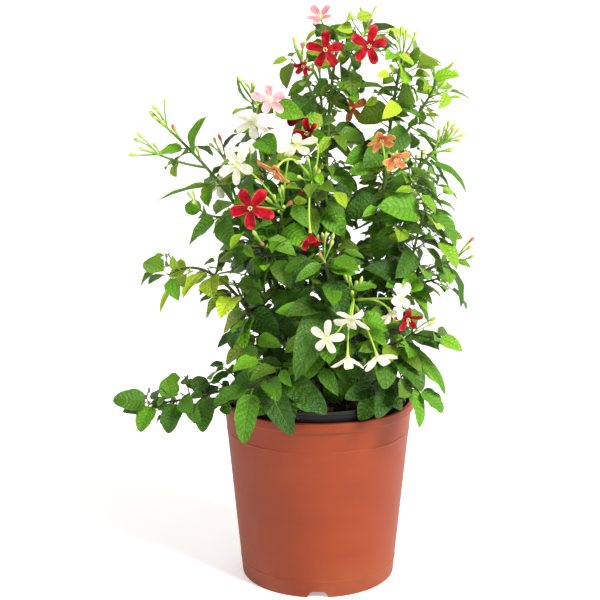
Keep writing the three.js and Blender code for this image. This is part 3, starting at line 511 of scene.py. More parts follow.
def outer_pot():
    band_foot = POT["height"] - POT["band"]
    floor = FOOT["height"] + POT["wall"]
    disc, slope, ring = FOOT["disc"], FOOT["slope"], FOOT["ring"]
    outside = [(0, 0), (disc, 0), (disc + slope, FOOT["height"])]
    outside += [(POT["base"] - ring - 1, FOOT["height"]), (POT["base"] - ring, 0), (POT["base"], 0)]
    for height in LINES:
        outside += raised_line(height)
    outside += [(wall_at(band_foot), band_foot), (POT["rim"] - 0.3, band_foot + 0.8)]
    outside += [(POT["rim"] - 0.1, POT["height"] - 3), (POT["rim"], POT["height"])]
    inner = [(wall_at(height) - POT["wall"], height) for height in (POT["height"], floor)]
    inner += [(disc + slope - 1, floor), (disc - 1, POT["wall"]), (0, POT["wall"])]
    mesh = faced_out(turned(eased(outside + inner, 0.9), TURNS))
    return cut(mesh, drain_cutters() + notch_cutters())


pot = add_piece("outer_pot", outer_pot(), [terracotta], "terracotta_plastic", ["pot"])
print("outer pot faces:", len(pot.data.polygons))

# %% [markdown]
# ## The inner pot and the soil
# The plant still stands in its black grower's pot, whose band shows above the orange rim at the back right.
# The soil is coarse and reddish brown, heaped a little at the middle, with crumbs and dry litter on it. The
# crumbs lie all over one surface by chance, so Geometry Nodes scatters them.

# %% the inner pot
LINER = {"height": 200, "rim": 92, "base": 69, "wall": 1.7, "band": 13, "proud": 2.6}
GAP = 0.3
LINER_FLOOR = FOOT["height"] + POT["wall"] + GAP


def liner_wall(height):
    share = (height - LINER_FLOOR) / (LINER["height"] - LINER_FLOOR)
    return LINER["base"] + (LINER["rim"] - LINER["proud"] - LINER["base"]) * share


def inner_pot():
    band_foot = LINER["height"] - LINER["band"]
    floor = LINER_FLOOR + LINER["wall"]
    top, rim, wall = LINER["height"], LINER["rim"], LINER["wall"]
    outside = [(0, LINER_FLOOR), (LINER["base"], LINER_FLOOR), (liner_wall(band_foot), band_foot)]
    outside += [(rim - 0.5, band_foot + 0.6), (rim - 0.5, top - 4), (rim, top - 3.4), (rim, top)]
    inner = [(rim - wall, top), (liner_wall(band_foot) - wall, band_foot)]
    inner += [(liner_wall(floor) - wall, floor), (0, floor)]
    return cut(faced_out(turned(eased(outside + inner, 0.7), TURNS)), drain_cutters())


liner = add_piece("grower_pot", inner_pot(), [black], "black_plastic", ["inner_pot"])
print("grower pot faces:", len(liner.data.polygons))

# %% Geometry Nodes as a recipe
class Recipe(Board):
    """A Geometry Nodes tree with named inputs that ends in real, painted faces."""

    SOCKETS = {int: "NodeSocketInt", float: "NodeSocketFloat"}

    def __init__(self, name, **inputs):
        super().__init__(bpy.data.node_groups.new(name, "GeometryNodeTree"))
        sockets = self.tree.interface
        sockets.new_socket("Geometry", in_out="INPUT", socket_type="NodeSocketGeometry")
        for key, value in inputs.items():
            made = sockets.new_socket(key, in_out="INPUT", socket_type=self.SOCKETS[type(value)])
            made.default_value = value
        sockets.new_socket("Finish", in_out="INPUT", socket_type="NodeSocketMaterial")
        sockets.new_socket("Geometry", in_out="OUTPUT", socket_type="NodeSocketGeometry")
        self.start = self.tree.nodes.new("NodeGroupInput")

    def given(self, key="Geometry"):
        return Wire(self, self.start.outputs[key])

    def end(self, geometry):
        real = self.node("GeometryNodeRealizeInstances", inputs={"Geometry": geometry})
        paints = {"Geometry": real, "Material": self.given("Finish")}
        painted = self.node("GeometryNodeSetMaterial", inputs=paints)
        end = self.tree.nodes.new("NodeGroupOutput")
        self.tree.links.new(painted.socket, end.inputs["Geometry"])

    def apply(self, mesh, finish, **values):
        """What the tree makes of a mesh, as a plain mesh."""
        carrier = bpy.data.objects.new("carrier", mesh)
        bpy.context.scene.collection.objects.link(carrier)
        modifier = carrier.modifiers.new(self.tree.name, "NODES")
        modifier.node_group = self.tree
        values = {**values, "Finish": finish}
        for item in self.tree.interface.items_tree:
            if item.in_out == "INPUT" and item.name in values:
                modifier[item.identifier] = values[item.name]
        graph = bpy.context.evaluated_depsgraph_get()
        made = bpy.data.meshes.new_from_object(carrier.evaluated_get(graph))
        carrier.modifiers.clear()
        bpy.data.objects.remove(carrier)
        return made


def crumb_recipe():
    recipe = Recipe("soil_crumbs", Density=9000.0, Size=0.0016, Seed=4)
    scatter = recipe.node("GeometryNodeDistributePointsOnFaces", {"distribute_method": "RANDOM"}, {
        "Mesh": recipe.given(), "Density": recipe.given("Density"), "Seed": recipe.given("Seed"),
    }, out="Points")
    ball = {"Radius": 1.0, "Subdivisions": 1}
    grain = recipe.node("GeometryNodeMeshIcoSphere", inputs=ball, out="Mesh")
    lumps = recipe.node("ShaderNodeTexNoise", inputs={"Scale": 1.3, "Detail": 1.0}, out="Color")
    shift = recipe.node("ShaderNodeVectorMath", {"operation": "SUBTRACT"}, {0: lumps, 1: (0.5, 0.5, 0.5)})
    uneven = recipe.node("GeometryNodeSetPosition", inputs={"Geometry": grain, "Offset": shift})
    draw = {"data_type": "FLOAT_VECTOR"}
    size = recipe.node("FunctionNodeRandomValue", draw, {
        0: (0.35, 0.3, 0.25), 1: (1.5, 1.1, 0.8), "Seed": recipe.given("Seed"),
    }, out=0)
    sized = {0: size, "Scale": recipe.given("Size")}
    scale = recipe.node("ShaderNodeVectorMath", {"operation": "SCALE"}, sized)
    turns = {0: (-0.6, -0.6, 0.0), 1: (0.6, 0.6, 6.28)}
    turn = recipe.node("FunctionNodeRandomValue", draw, turns, out=0)
    placed = recipe.node("GeometryNodeInstanceOnPoints", inputs={
        "Points": scatter, "Instance": uneven, "Rotation": turn, "Scale": scale,
    })
    recipe.end(placed)
    return recipe


crumbs = crumb_recipe()
print("crumb recipe inputs:", [item.name for item in crumbs.tree.interface.items_tree])

# %% the soil
SOIL = {"top": 186, "crown": 3, "flat": 0.85}
HEAP = {"rings": 26, "turns": 96, "lift": 3.0, "ripple": 2.2}


def ripple(x, y):
    """An uneven ground between about -1 and 1, from a few crossing waves."""
    return (
        math.sin(x * 0.19 + 1.3) * math.cos(y * 0.16 + 0.4) + 0.6 * math.sin(x * 0.41 - y * 0.33)
        + 0.35 * math.cos(x * 0.83 + y * 0.71 + 2.0) + 0.2 * math.sin(x * 1.7 - y * 1.4)
    ) / 2.15


def soil_mesh():
    floor = LINER_FLOOR + LINER["wall"] + GAP
    edge = SOIL["top"] - SOIL["crown"]
    low_side, side = (liner_wall(height) - LINER["wall"] - GAP for height in (floor, edge))
    profile = [(0, floor), (low_side, floor), (side, edge - 2)]
    for i in range(HEAP["rings"] + 1):
        share = 1 - i / HEAP["rings"]
        rise = HEAP["lift"] * min(1, (1 - share) / (1 - SOIL["flat"]))
        profile.append((side * share, edge + rise))
    mesh = turned(profile, HEAP["turns"])
    for vertex in mesh.vertices:
        if vertex.co.z > (edge - 1) * MM:
            vertex.co.z += ripple(vertex.co.x / MM, vertex.co.y / MM) * HEAP["ripple"] * MM
    return faced_out(mesh)


def crumb_ground(soil):
    """The upper faces of the soil alone, for the crumbs to lie on."""
    work = bmesh.new()
    work.from_mesh(soil)
    low = [f for f in work.faces if f.normal.z < 0.5 or f.calc_center_median().z < 0.15]
    bmesh.ops.delete(work, geom=low, context="FACES")
    ground = bpy.data.meshes.new("ground")
    work.to_mesh(ground)
    work.free()
    return ground


heap = soil_mesh()
small = crumbs.apply(crumb_ground(heap), mix_soil, Density=60000.0, Size=0.0014, Seed=4)
large = crumbs.apply(crumb_ground(heap), mix_soil, Density=9000.0, Size=0.0031, Seed=9)
ground = joined([heap, small, large])
soil = add_piece("soil_heap", ground, [mix_soil], "potting_mix", ["soil"], smooth_angle=60)
print("soil and crumbs:", len(soil.data.polygons), "faces")

# %% [markdown]
# ## Reading the solids
# Every leaf in the frame is a lattice: rings of four corners, the two edges and the midrib above and below,
# that close in one tip. A bud has rings of three and a flower five such petals round a centre. The corners
# could be written down again in this script, but reading them keeps the looks on the very solid in the frame.
# A corner's number of neighbours tells what it is, so the rings are walked from the tips backwards.

# %% the corners of a solid
RIB = 1.4 * MM
NEAR = 0.02 * MM
BUD = {"swelling": 0.74, "width": 2 / 17}


class Solid:
    """A CAD node's corners and each corner's neighbours, with the doubles merged in a copy."""

    def __init__(self, node):
        work = bmesh.new()
        work.from_mesh(frame["nodes"][node].data)
        bmesh.ops.remove_doubles(work, verts=work.verts, dist=1e-6)
        work.verts.index_update()
        self.corners = np.array([v.co for v in work.verts])
        self.near = [{e.other_vert(v).index for e in v.link_edges} for v in work.verts]
        self.faces = [[v.index for v in f.verts] for f in work.faces]
        work.free()


def unit(vector):
    return vector / max(np.linalg.norm(vector), 1e-12)


def rib_and_edges(solid, ring):
    """The ring's midrib pair and edge pair, or None where the four aren't a leaf's."""
    ring = sorted(ring)
    at = solid.corners
    pairs = [((ring[0], ring[i]), tuple(r for r in ring[1:] if r != ring[i])) for i in (1, 2, 3)]
    pairs += [(b, a) for a, b in pairs]
    for rib, edges in pairs:
        thick = np.linalg.norm(at[rib[0]] - at[rib[1]])
        wide = np.linalg.norm(at[edges[0]] - at[edges[1]])
        square = abs(np.dot(unit(at[rib[0]] - at[rib[1]]), unit(at[edges[0]] - at[edges[1]])))
        if abs(thick - RIB) < NEAR and wide > 3 * MM and square < 0.05:
            return rib, edges
    return None


def read_leaf(solid, tip):
    """The leaf that ends at a corner: its rings from the stalk to the tip, or None."""
    found = rib_and_edges(solid, solid.near[tip])
    if not found:
        return None
    at, near = solid.corners, solid.near
    rib, edges = found
    middle = at[list(rib)].mean(0)
    spans = [np.linalg.norm(at[tip] - at[edge]) for edge in edges]
    if np.linalg.norm(at[tip] - middle) < 4 * MM or abs(spans[0] - spans[1]) > 0.05 * MM:
        return None
    if np.dot(at[list(edges)].mean(0) - middle, at[rib[0]] - at[rib[1]]) < 0:
        rib = rib[::-1]
    if np.dot(at[edges[1]] - at[edges[0]], np.cross(at[tip] - middle, at[rib[0]] - at[rib[1]])) < 0:
        edges = edges[::-1]
    left, top, right, under = edges[0], rib[0], edges[1], rib[1]
    ahead = {tip}
    rings = []
    while True:
        ring = {left, top, right, under}
        rings.insert(0, [at[left], at[top], at[right], at[under]])
        lefts = near[left] - ahead - ring
        rights = near[right] - ahead - ring
        if len(lefts) != 1 or len(rights) != 1:
            break
        new_left, new_right = next(iter(lefts)), next(iter(rights))
        shared = near[new_left] & near[new_right]
        tops = (shared & near[top]) - ring
        unders = (shared & near[under]) - ring
        if len(tops) != 1:
            break
        new_top = next(iter(tops))
        if len(unders) != 1:
            break
        new_under = next(iter(unders))
        if abs(np.linalg.norm(at[new_top] - at[new_under]) - RIB) > NEAR:
            break
        ahead = ring
        left, top, right, under = new_left, new_top, new_right, new_under
    return {"rings": np.array(rings), "tip": at[tip]}


def read_bud(solid, tip):
    """The bud that ends at a corner, as its base and tip, or None."""
    if len(solid.near[tip]) != 3:
        return None
    points = solid.corners[sorted(solid.near[tip])]
    middle = points.mean(0)
    swell = np.linalg.norm(points - middle, axis=1)
    length = np.linalg.norm(solid.corners[tip] - middle) / (1 - BUD["swelling"])
    if np.ptp(swell) > NEAR or abs(swell[0] - BUD["width"] * length) > 0.05 * MM:
        return None
    way = unit(solid.corners[tip] - middle)
    return {"base": solid.corners[tip] - way * length, "tip": solid.corners[tip]}


def true_leaves(found):
    """The leaves read from a solid, without those whose tip is a corner in a longer leaf's ring."""
    longer = [leaf for leaf in found if len(leaf["rings"]) > 1]
    inner = {tuple(corner) for leaf in longer for ring in leaf["rings"] for corner in ring}
    return [leaf for leaf in found if tuple(leaf["tip"]) not in inner]


solids = {name: Solid(name) for name in frame["nodes"]}
shoot_names = sorted(name for name in solids if name.startswith("shoot_"))
bloom_names = sorted(name for name in solids if name.startswith("bloom_"))
leaves, buds = {}, {}
for name in shoot_names:
    solid = solids[name]
    fours = [i for i, ring in enumerate(solid.near) if len(ring) == 4]
    leaves[name] = true_leaves([leaf for leaf in (read_leaf(solid, i) for i in fours) if leaf])
    buds[name] = [bud for bud in (read_bud(solid, i) for i in range(len(solid.near))) if bud]
print("leaves read:", {name: len(found) for name, found in leaves.items()})
ring_counts = [len(leaf["rings"]) for found in leaves.values() for leaf in found]
print("all of them:", len(ring_counts), "by their number of rings:", np.bincount(ring_counts))
print("buds read:", sum(map(len, buds.values())))

# %% [markdown]
# ## Stems
# A shoot is a woody stem that thins towards its tip, with side stems where a pair of leaves sits, and a slight
# knuckle at every joint. It follows a path, so Geometry Nodes sweeps it: the path's points carry the girth,
# and one recipe makes stems, flower tubes and stamens alike. The control points are those of the CAD source.

# %% the sweep recipe
def sweep_recipe():
    recipe = Recipe("sweep_along_path", Sides=8, Scale=1.0)
    curve = recipe.node("GeometryNodeMeshToCurve", inputs={"Mesh": recipe.given()})
    girth = recipe.node("GeometryNodeInputNamedAttribute", {"data_type": "FLOAT"}, {"Name": "girth"})
    circle = {"Resolution": recipe.given("Sides"), "Radius": 1.0}
    section = recipe.node("GeometryNodeCurvePrimitiveCircle", inputs=circle)
    thickness = girth * recipe.given("Scale")
    swept = recipe.node("GeometryNodeCurveToMesh", inputs={
        "Curve": curve, "Profile Curve": section, "Scale": thickness, "Fill Caps": True,
    })
    recipe.end(swept)
    return recipe


sweep = sweep_recipe()


def swept(paths, finish, sides):
    """Paths of (points, girths) in metres, swept into one mesh."""
    points, edges, girths = [], [], []
    for line, girth in paths:
        start = len(points)
        points.extend(map(tuple, line))
        girths.extend(girth)
        edges.extend((i, i + 1) for i in range(start, len(points) - 1))
    mesh = bpy.data.meshes.new("paths")
    mesh.from_pydata(points, edges, [])
    mesh.attributes.new("girth", "FLOAT", "POINT").data.foreach_set("value", girths)
    return sweep.apply(mesh, finish, Sides=sides)


print("sweep inputs:", [item.name for item in sweep.tree.interface.items_tree])

# %% the stems' paths
# Each stem: what it starts from, where, its control points in millimetres and its girth at both ends.
STEMS = {
    "shoot_tall": [
        ["soil", (8, 6), (10, 12, 290), (0, 0, 445), (20, -10, 556), (3.4, 1.3)],
        ["stem", (0, 0.76), (-8, -12, 500), (-16, -22, 532), (1.8, 1.1)],
        ["stem", (0, 0.8), (32, 0, 525), (46, 2, 562), (1.8, 1.1)],
        ["stem", (0, 0.5), (-2, -36, 396), (-6, -58, 423), (1.7, 1.2)],
    ],
    "shoot_right_tall": [
        ["soil", (36, 4), (72, 2, 290), (55, -6, 405), (82, -10, 536), (3.2, 1.3)],
        ["stem", (0, 0.74), (100, -12, 480), (116, -14, 512), (1.8, 1.1)],
        ["stem", (0, 0.56), (96, -26, 430), (118, -26, 452), (1.8, 1.1)],
        ["stem", (0, 0.52), (62, -34, 412), (68, -46, 428), (1.8, 1.2)],
    ],
    "shoot_right_low": [
        ["soil", (50, -12), (58, -26, 292), (94, -36, 334), (137, -36, 340), (2.8, 1.2)],
        ["stem", (0, 0.6), (92, -44, 352), (106, -42, 396), (1.7, 1.1)],
    ],
    "shoot_left_high": [
        ["soil", (-20, 8), (-28, 4, 325), (-84, -18, 410), (-146, -34, 470), (3, 1.2)],
        ["stem", (0, 0.8), (-134, -40, 436), (-154, -44, 446), (1.5, 1)],
        ["stem", (0, 0.62), (-92, -44, 378), (-112, -58, 392), (1.6, 1)],
    ],
    "shoot_left_mid": [
        ["soil", (-8, 22), (-28, 14, 320), (-55, -16, 410), (-64, -18, 496), (3, 1.3)],
        ["stem", (0, 0.66), (-58, -36, 410), (-68, -44, 428), (1.7, 1.2)],
        ["stem", (0, 0.45), (-44, -44, 346), (-54, -66, 362), (1.7, 1.2)],
        ["stem", (0, 0.5), (-36, -36, 368), (-35, -62, 396), (1.7, 1.2)],
    ],
    "shoot_left_low": [
        ["soil", (-34, -10), (-46, -22, 262), (-96, -46, 352), (-138, -58, 334), (2.6, 1.1)],
        ["stem", (0, 0.2), (-64, -22, 270), (-84, -30, 318), (1.8, 1.1)],
    ],
    "shoot_front": [
        ["soil", (-4, -36), (4, -62, 262), (20, -84, 315), (6, -88, 350), (2.6, 1.2)],
    ],
    "shoot_front_right": [
        ["soil", (26, -38), (34, -56, 245), (42, -70, 275), (33, -80, 310), (2.5, 1.3)],
        ["stem", (0, 0.5), (70, -76, 258), (92, -78, 276), (1.8, 1.1)],
    ],
    "shoot_trailing": [
        ["soil", (-46, -34), (-50, -44, 238), (-86, -62, 206), (-168, -60, 199), (2.2, 1)],
    ],
    "shoot_rim_left": [
        ["soil", (-24, -56), (-28, -72, 240), (-44, -92, 242), (-66, -102, 226), (2.2, 1.1)],
    ],
    "shoot_rim_right": [
        ["soil", (42, -48), (52, -62, 232), (70, -80, 238), (98, -82, 220), (2.2, 1.1)],
    ],
    "shoot_back_left": [
        ["soil", (-26, 44), (-34, 60, 290), (-84, 84, 350), (-98, 78, 424), (2.8, 1.2)],
        ["stem", (0, 0.5), (-30, 90, 350), (-24, 104, 386), (1.8, 1.1)],
    ],
    "shoot_back_right": [
        ["soil", (38, 42), (44, 60, 285), (92, 88, 340), (104, 74, 416), (2.8, 1.2)],
        ["stem", (0, 0.45), (96, 60, 290), (128, 50, 304), (1.8, 1.1)],
    ],
    "shoot_back_tall": [
        ["soil", (6, 40), (4, 72, 275), (12, 88, 400), (2, 46, 506), (3, 1.2)],
        ["stem", (0, 0.35), (-12, 106, 300), (-34, 118, 292), (1.8, 1.1)],
    ],
}
ROOT = {"depth": 34, "collar": 3, "steps": 5}


def bezier(control, t):
    t = np.asarray(t, float)[:, None]
    points = [np.array(p, float) for p in control]
    if len(points) == 3:
        return (1 - t) ** 2 * points[0] + 2 * t * (1 - t) * points[1] + t * t * points[2]
    blend = (1 - t) ** 3 * points[0] + 3 * t * (1 - t) ** 2 * points[1]
    return blend + 3 * t * t * (1 - t) * points[2] + t ** 3 * points[3]


def stem_paths(name):
    """Each stem's fine line and girths in metres."""
    lines, controls = [], []
    for kind, where, *rest in STEMS[name]:
        *path, (thick, thin) = rest
        if kind == "soil":
            start = (*where, SOIL["top"] + ROOT["collar"])
        else:
            coarse = bezier(controls[where[0]], np.linspace(0, 1, ROOT["steps"] + 1))
            place = where[1] * ROOT["steps"]
            low = min(int(place), ROOT["steps"] - 1)
            start = coarse[low] + (coarse[low + 1] - coarse[low]) * (place - low)
        controls.append([tuple(start), *path])
        steps = 60 if kind == "soil" else 22
        t = np.linspace(0, 1, steps + 1)
        line = bezier(controls[-1], t)
        girth = thick + (thin - thick) * t
        if kind == "soil":
            line = np.vstack([[*where, SOIL["top"] - ROOT["depth"]], line])
            girth = np.append(thick, girth)
        lines.append((line * MM, girth * MM))
    return lines


def closest(lines, point):
    """The nearest point on the lines, with the line's number and the girth there."""
    best = None
    for number, (line, girth) in enumerate(lines):
        starts, ends = line[:-1], line[1:]
        spans = ends - starts
        share = np.clip(((point - starts) * spans).sum(1) / np.maximum((spans ** 2).sum(1), 1e-12), 0, 1)
        spots = starts + spans * share[:, None]
        away = np.linalg.norm(spots - point, axis=1)
        i = int(away.argmin())
        if best is None or away[i] < best[0]:
            best = (away[i], spots[i], number, girth[i], unit(spans[i]))
    return best


stems = {name: stem_paths(name) for name in shoot_names}
print("stems:", sum(len(lines) for lines in stems.values()))

# %% [markdown]
# ## Leaves
# A leaf of this plant is oval with a drawn-out tip, folded a little along its midrib, quilted between its side
# veins and wavy at its edge. It could be a flat card with a picture on it, but it would show as one from the
# side. Each is a thin closed shell with a top, an underside and an edge, on a midrib that runs through its
# solid's rings, so that it bends and faces as its solid does.

# %% growing a mesh
class Growth:
    """The faces that one piece collects, with a UV and three growth values at every point: for a leaf, its
    lightness, which carries painted shade, its age and its underside.
    """

    def __init__(self):
        self.points, self.faces, self.uvs, self.marks, self.slots = [], [], [], [], []
        self.count = 0

    def add(self, points, faces, slot, uv=None, mark=(0.5, 0.0, 0.0)):
        points = np.asarray(points, float)
        self.points.append(points)
        self.uvs.append(np.zeros((len(points), 2)) if uv is None else np.asarray(uv, float))
        marks = np.asarray(mark, float)
        self.marks.append(np.broadcast_to(marks, (len(points), 3)) if marks.ndim == 1 else marks)
        self.faces.extend([tuple(int(v) + self.count for v in face) for face in faces])
        self.slots.extend([slot] * len(faces))
        self.count += len(points)

    def add_mesh(self, mesh, slot, uv_along=None):
        points = np.empty(len(mesh.vertices) * 3)
        mesh.vertices.foreach_get("co", points)
        points = points.reshape(-1, 3)
        uv = None
        if uv_along is not None:
            uv = np.column_stack([np.full(len(points), 0.5), uv_along(points)])
        self.add(points, [tuple(face.vertices) for face in mesh.polygons], slot, uv)

    def mesh(self, name):
        made = bpy.data.meshes.new(name)
        made.from_pydata(np.vstack(self.points).tolist(), [], self.faces)
        made.polygons.foreach_set("material_index", self.slots)
        corners = np.empty(len(made.loops), int)
        made.loops.foreach_get("vertex_index", corners)
        made.uv_layers.new(name="UVMap").data.foreach_set("uv", np.vstack(self.uvs)[corners].ravel())
        marks = made.attributes.new("growth", "FLOAT_VECTOR", "POINT")
        marks.data.foreach_set("vector", np.vstack(self.marks).ravel())
        made.update()
        return made


def shell_faces(rows, columns):
    """The faces of a closed thin shell: a grid above, the same grid below, and the edge between them."""
    def number(i, j, side):
        return side * rows * columns + i * columns + j

    faces = []
    for i in range(rows - 1):
        for j in range(columns - 1):
            square = [(i, j), (i, j + 1), (i + 1, j + 1), (i + 1, j)]
            faces.append([number(a, b, 0) for a, b in square])
            faces.append([number(a, b, 1) for a, b in reversed(square)])
    border = [(0, j) for j in range(columns - 1)]
    border += [(i, columns - 1) for i in range(rows - 1)]
    border += [(rows - 1, j) for j in range(columns - 1, 0, -1)]
    border += [(i, 0) for i in range(rows - 1, 0, -1)]
    for here, there in zip(border, border[1:] + border[:1]):
        faces.append([number(*here, 0), number(*here, 1), number(*there, 1), number(*there, 0)])
    return faces


SHELLS = {}


def shell(rows, columns):
    if (rows, columns) not in SHELLS:
        SHELLS[rows, columns] = shell_faces(rows, columns)
    return SHELLS[rows, columns]


print("faces in a large leaf's shell:", len(shell(37, 13)))

# %% one leaf
FOLD = 0.24
BLADE = {
    "thickness": 0.34 * MM, "quilt": 0.022, "wave": 0.11, "curl": 0.35, "stalk": 0.1, "straight": 0.35,
    "twist": 0.3, "waves": (1.6, 3.0), "wavy": (0.4, 1.2), "curl_from": 0.72, "vein": 0.17, "rib": 0.09,
}
GRIDS = {"large": (37, 13), "middle": (27, 11), "small": (17, 9), "twig": (6, 5)}
LARGE_FROM, MIDDLE_FROM = 38 * MM, 26 * MM
STALKS = {"large": 0.75, "middle": 0.65, "small": 0.55, "twig": 0.5}
STATIONS = {1: [0.42], 2: [0.3, 0.67], 3: [0.24, 0.5, 0.77]}
SHARES = {1: [1], 2: [0.95, 0.78], 3: [0.88, 1, 0.62]}


def outline(v, drawn):
    """Half the blade's width over its length: round at the foot, drawn out at the tip."""
    v = np.clip(v, 0, 1)
    oval = np.sin(np.pi * v ** 0.65) ** (0.46 + 0.64 * drawn)
    narrow = np.clip((v - 0.84) / 0.13, 0, 1)
    return np.maximum(oval * (1 - drawn * narrow * narrow * (3 - 2 * narrow)), 0.012)


def through(shares, points, degree):
    """A smooth line through points at given shares, as functions for the place and the direction."""
    degree = min(degree, len(shares) - 1)
    fit = [np.polynomial.Polynomial.fit(shares, points[:, k], degree) for k in range(3)]

    def place(u):
        return np.column_stack([curve(u) for curve in fit])

    def slope(u):
        return np.column_stack([curve.deriv()(u) for curve in fit])

    return place, slope


def rows_of(vectors):
    return vectors / np.maximum(np.linalg.norm(vectors, axis=1), 1e-12)[:, None]


def beside(middle, across, normal, spread, lift):
    """Points spread to both sides of a midrib and lifted off it."""
    return middle[:, None] + across[:, None] * spread[..., None] + normal[:, None] * lift[..., None]


def grow_leaf(growth, draw, midrib, side, up, size, grid, mark, slot):
    """A leaf's blade and stalk on a midrib."""
    place, slope = midrib
    length, width, drawn = size
    rows, columns = GRIDS[grid]
    stalk = BLADE["stalk"] + 2 * MM / length
    v = np.linspace(0, 1, rows)
    u = stalk + (1 - stalk) * v
    x = np.linspace(-1, 1, columns)
    middle = place(u)
    tangent = rows_of(slope(u))
    normal = rows_of(np.cross(side, tangent))
    normal *= np.sign((normal @ up).sum() or 1)
    level = rows_of(np.cross(tangent, normal))
    twist = draw.uniform(-BLADE["twist"], BLADE["twist"]) * (u - 0.2)
    across = level * np.cos(twist)[:, None] + normal * np.sin(twist)[:, None]
    normal = normal * np.cos(twist)[:, None] - level * np.sin(twist)[:, None]
    half = outline(v, drawn) * width / 2
    edge = np.abs(x)
    straight = BLADE["straight"]
    lift = FOLD * half[:, None] * (straight * edge + (1 - straight) * edge ** 2)
    waves = draw.uniform(*BLADE["waves"])
    phases = draw.uniform(0, 6.28, 2)
    phase = np.where(x < 0, phases[0], phases[1])
    wavy = np.sin(2 * np.pi * waves * v[:, None] + phase) * edge ** 2 * half[:, None]
    lift = lift + BLADE["wave"] * draw.uniform(*BLADE["wavy"]) * wavy * np.sin(np.pi * v)[:, None]
    tip_part = np.clip(v - BLADE["curl_from"], 0, 1)
    lift = lift - BLADE["curl"] * draw.uniform(0, 0.5) * half[:, None] * tip_part[:, None]
    veins = (v[:, None] - edge * VEIN_SLANT) * VEIN_PAIRS
    swell = 1 - 2 * np.exp(-((veins - np.round(veins)) / BLADE["vein"]) ** 2)
    fade_across = np.clip(np.minimum(edge / 0.15, (1 - edge) / 0.25), 0, 1)
    fade_along = np.clip(np.minimum(v / 0.1, (1 - v) / 0.12), 0, 1)
    ends = fade_across * fade_along[:, None]
    if grid != "twig":
        lift = lift + BLADE["quilt"] * width * swell * ends
    top = beside(middle, across, normal, x * half[:, None], lift)
    rib = np.exp(-(edge / BLADE["rib"]) ** 2) * (1 - v[:, None]) * 0.5 * MM
    depth = BLADE["thickness"] + rib
    bottom = top - normal[:, None] * depth[..., None]
    uv = np.stack(np.broadcast_arrays((x + 1) / 2, v[:, None]), -1).reshape(-1, 2)
    marks = np.tile(mark, (2 * rows * columns, 1))
    marks[rows * columns:, 2] = 1
    points = np.vstack([top.reshape(-1, 3), bottom.reshape(-1, 3)])
    growth.add(points, shell(rows, columns), slot, np.vstack([uv, uv]), marks)
    steps, sides = (2, 3) if grid == "twig" else (6, 6)
    line = place(np.linspace(0, stalk + 0.03, steps)) - normal[0] * BLADE["thickness"]
    thick = STALKS[grid] * MM
    add_tube(growth, line, np.linspace(thick * 1.25, thick * 0.7, steps), sides, slot, mark)


def add_tube(growth, line, girths, sides, slot, mark, uv_from=0.0, uv_to=0.0):
    """A closed round stalk along a line."""
    tangent = rows_of(np.gradient(line, axis=0))
    hint = np.array([0.3, 0.5, 0.81])
    first = rows_of(np.cross(tangent, hint))
    second = np.cross(tangent, first)
    angle = np.linspace(0, 2 * np.pi, sides, endpoint=False)
    ring = first[:, None] * np.cos(angle)[:, None] + second[:, None] * np.sin(angle)[:, None]
    points = (line[:, None] + ring * np.asarray(girths)[:, None, None]).reshape(-1, 3)
    faces = [list(range(sides))[::-1]]
    for i in range(len(line) - 1):
        for j in range(sides):
            k = (j + 1) % sides
            faces.append([i * sides + j, i * sides + k, (i + 1) * sides + k, (i + 1) * sides + j])
    faces.append([(len(line) - 1) * sides + j for j in range(sides)])
    along = np.repeat(np.linspace(uv_from, uv_to, len(line)), sides)
    uv = np.column_stack([np.full(len(points), 0.5), along])
    growth.add(points, faces, slot, uv, mark)


def arc_leaf(base, way, up, length, arch):
    """A midrib on an arc from base along way."""
    radius = length / (2 * math.sin(arch / 2))

    def place(u):
        bend = arch * (np.asarray(u) - 0.5)
        run = radius * (np.sin(bend) + math.sin(arch / 2))
        rise = radius * (np.cos(bend) - math.cos(arch / 2))
        return base + way * run[:, None] + up * rise[:, None]

    def slope(u):
        bend = arch * (np.asarray(u) - 0.5)
        return way * np.cos(bend)[:, None] - up * np.sin(bend)[:, None]

    return place, slope


def arc_of(leaf, share):
    """The arc that a solid leaf bends on, if its first ring stands at that share of its length."""
    ring = leaf["rings"][0]
    middle = (ring[1] + ring[3]) / 2
    up, side = unit(ring[1] - ring[3]), unit(ring[2] - ring[0])
    chord = leaf["tip"] - middle
    ahead = np.cross(side, up)
    ahead = ahead * np.sign(ahead @ chord)
    half = math.atan2(-(chord @ up), chord @ ahead)
    half = math.copysign(max(abs(half), 0.001), half)
    arch = 2 * half / (1 - share)
    length = np.linalg.norm(chord) * half / math.sin(half) / (1 - share)
    radius = length / arch

    def place(u):
        bend = arch * (np.asarray(u) - share)
        return middle + ahead * radius * np.sin(bend)[:, None] - up * radius * (1 - np.cos(bend))[:, None]

    def slope(u):
        bend = arch * (np.asarray(u) - share)
        return ahead * np.cos(bend)[:, None] - up * np.sin(bend)[:, None]

    return place, slope, length


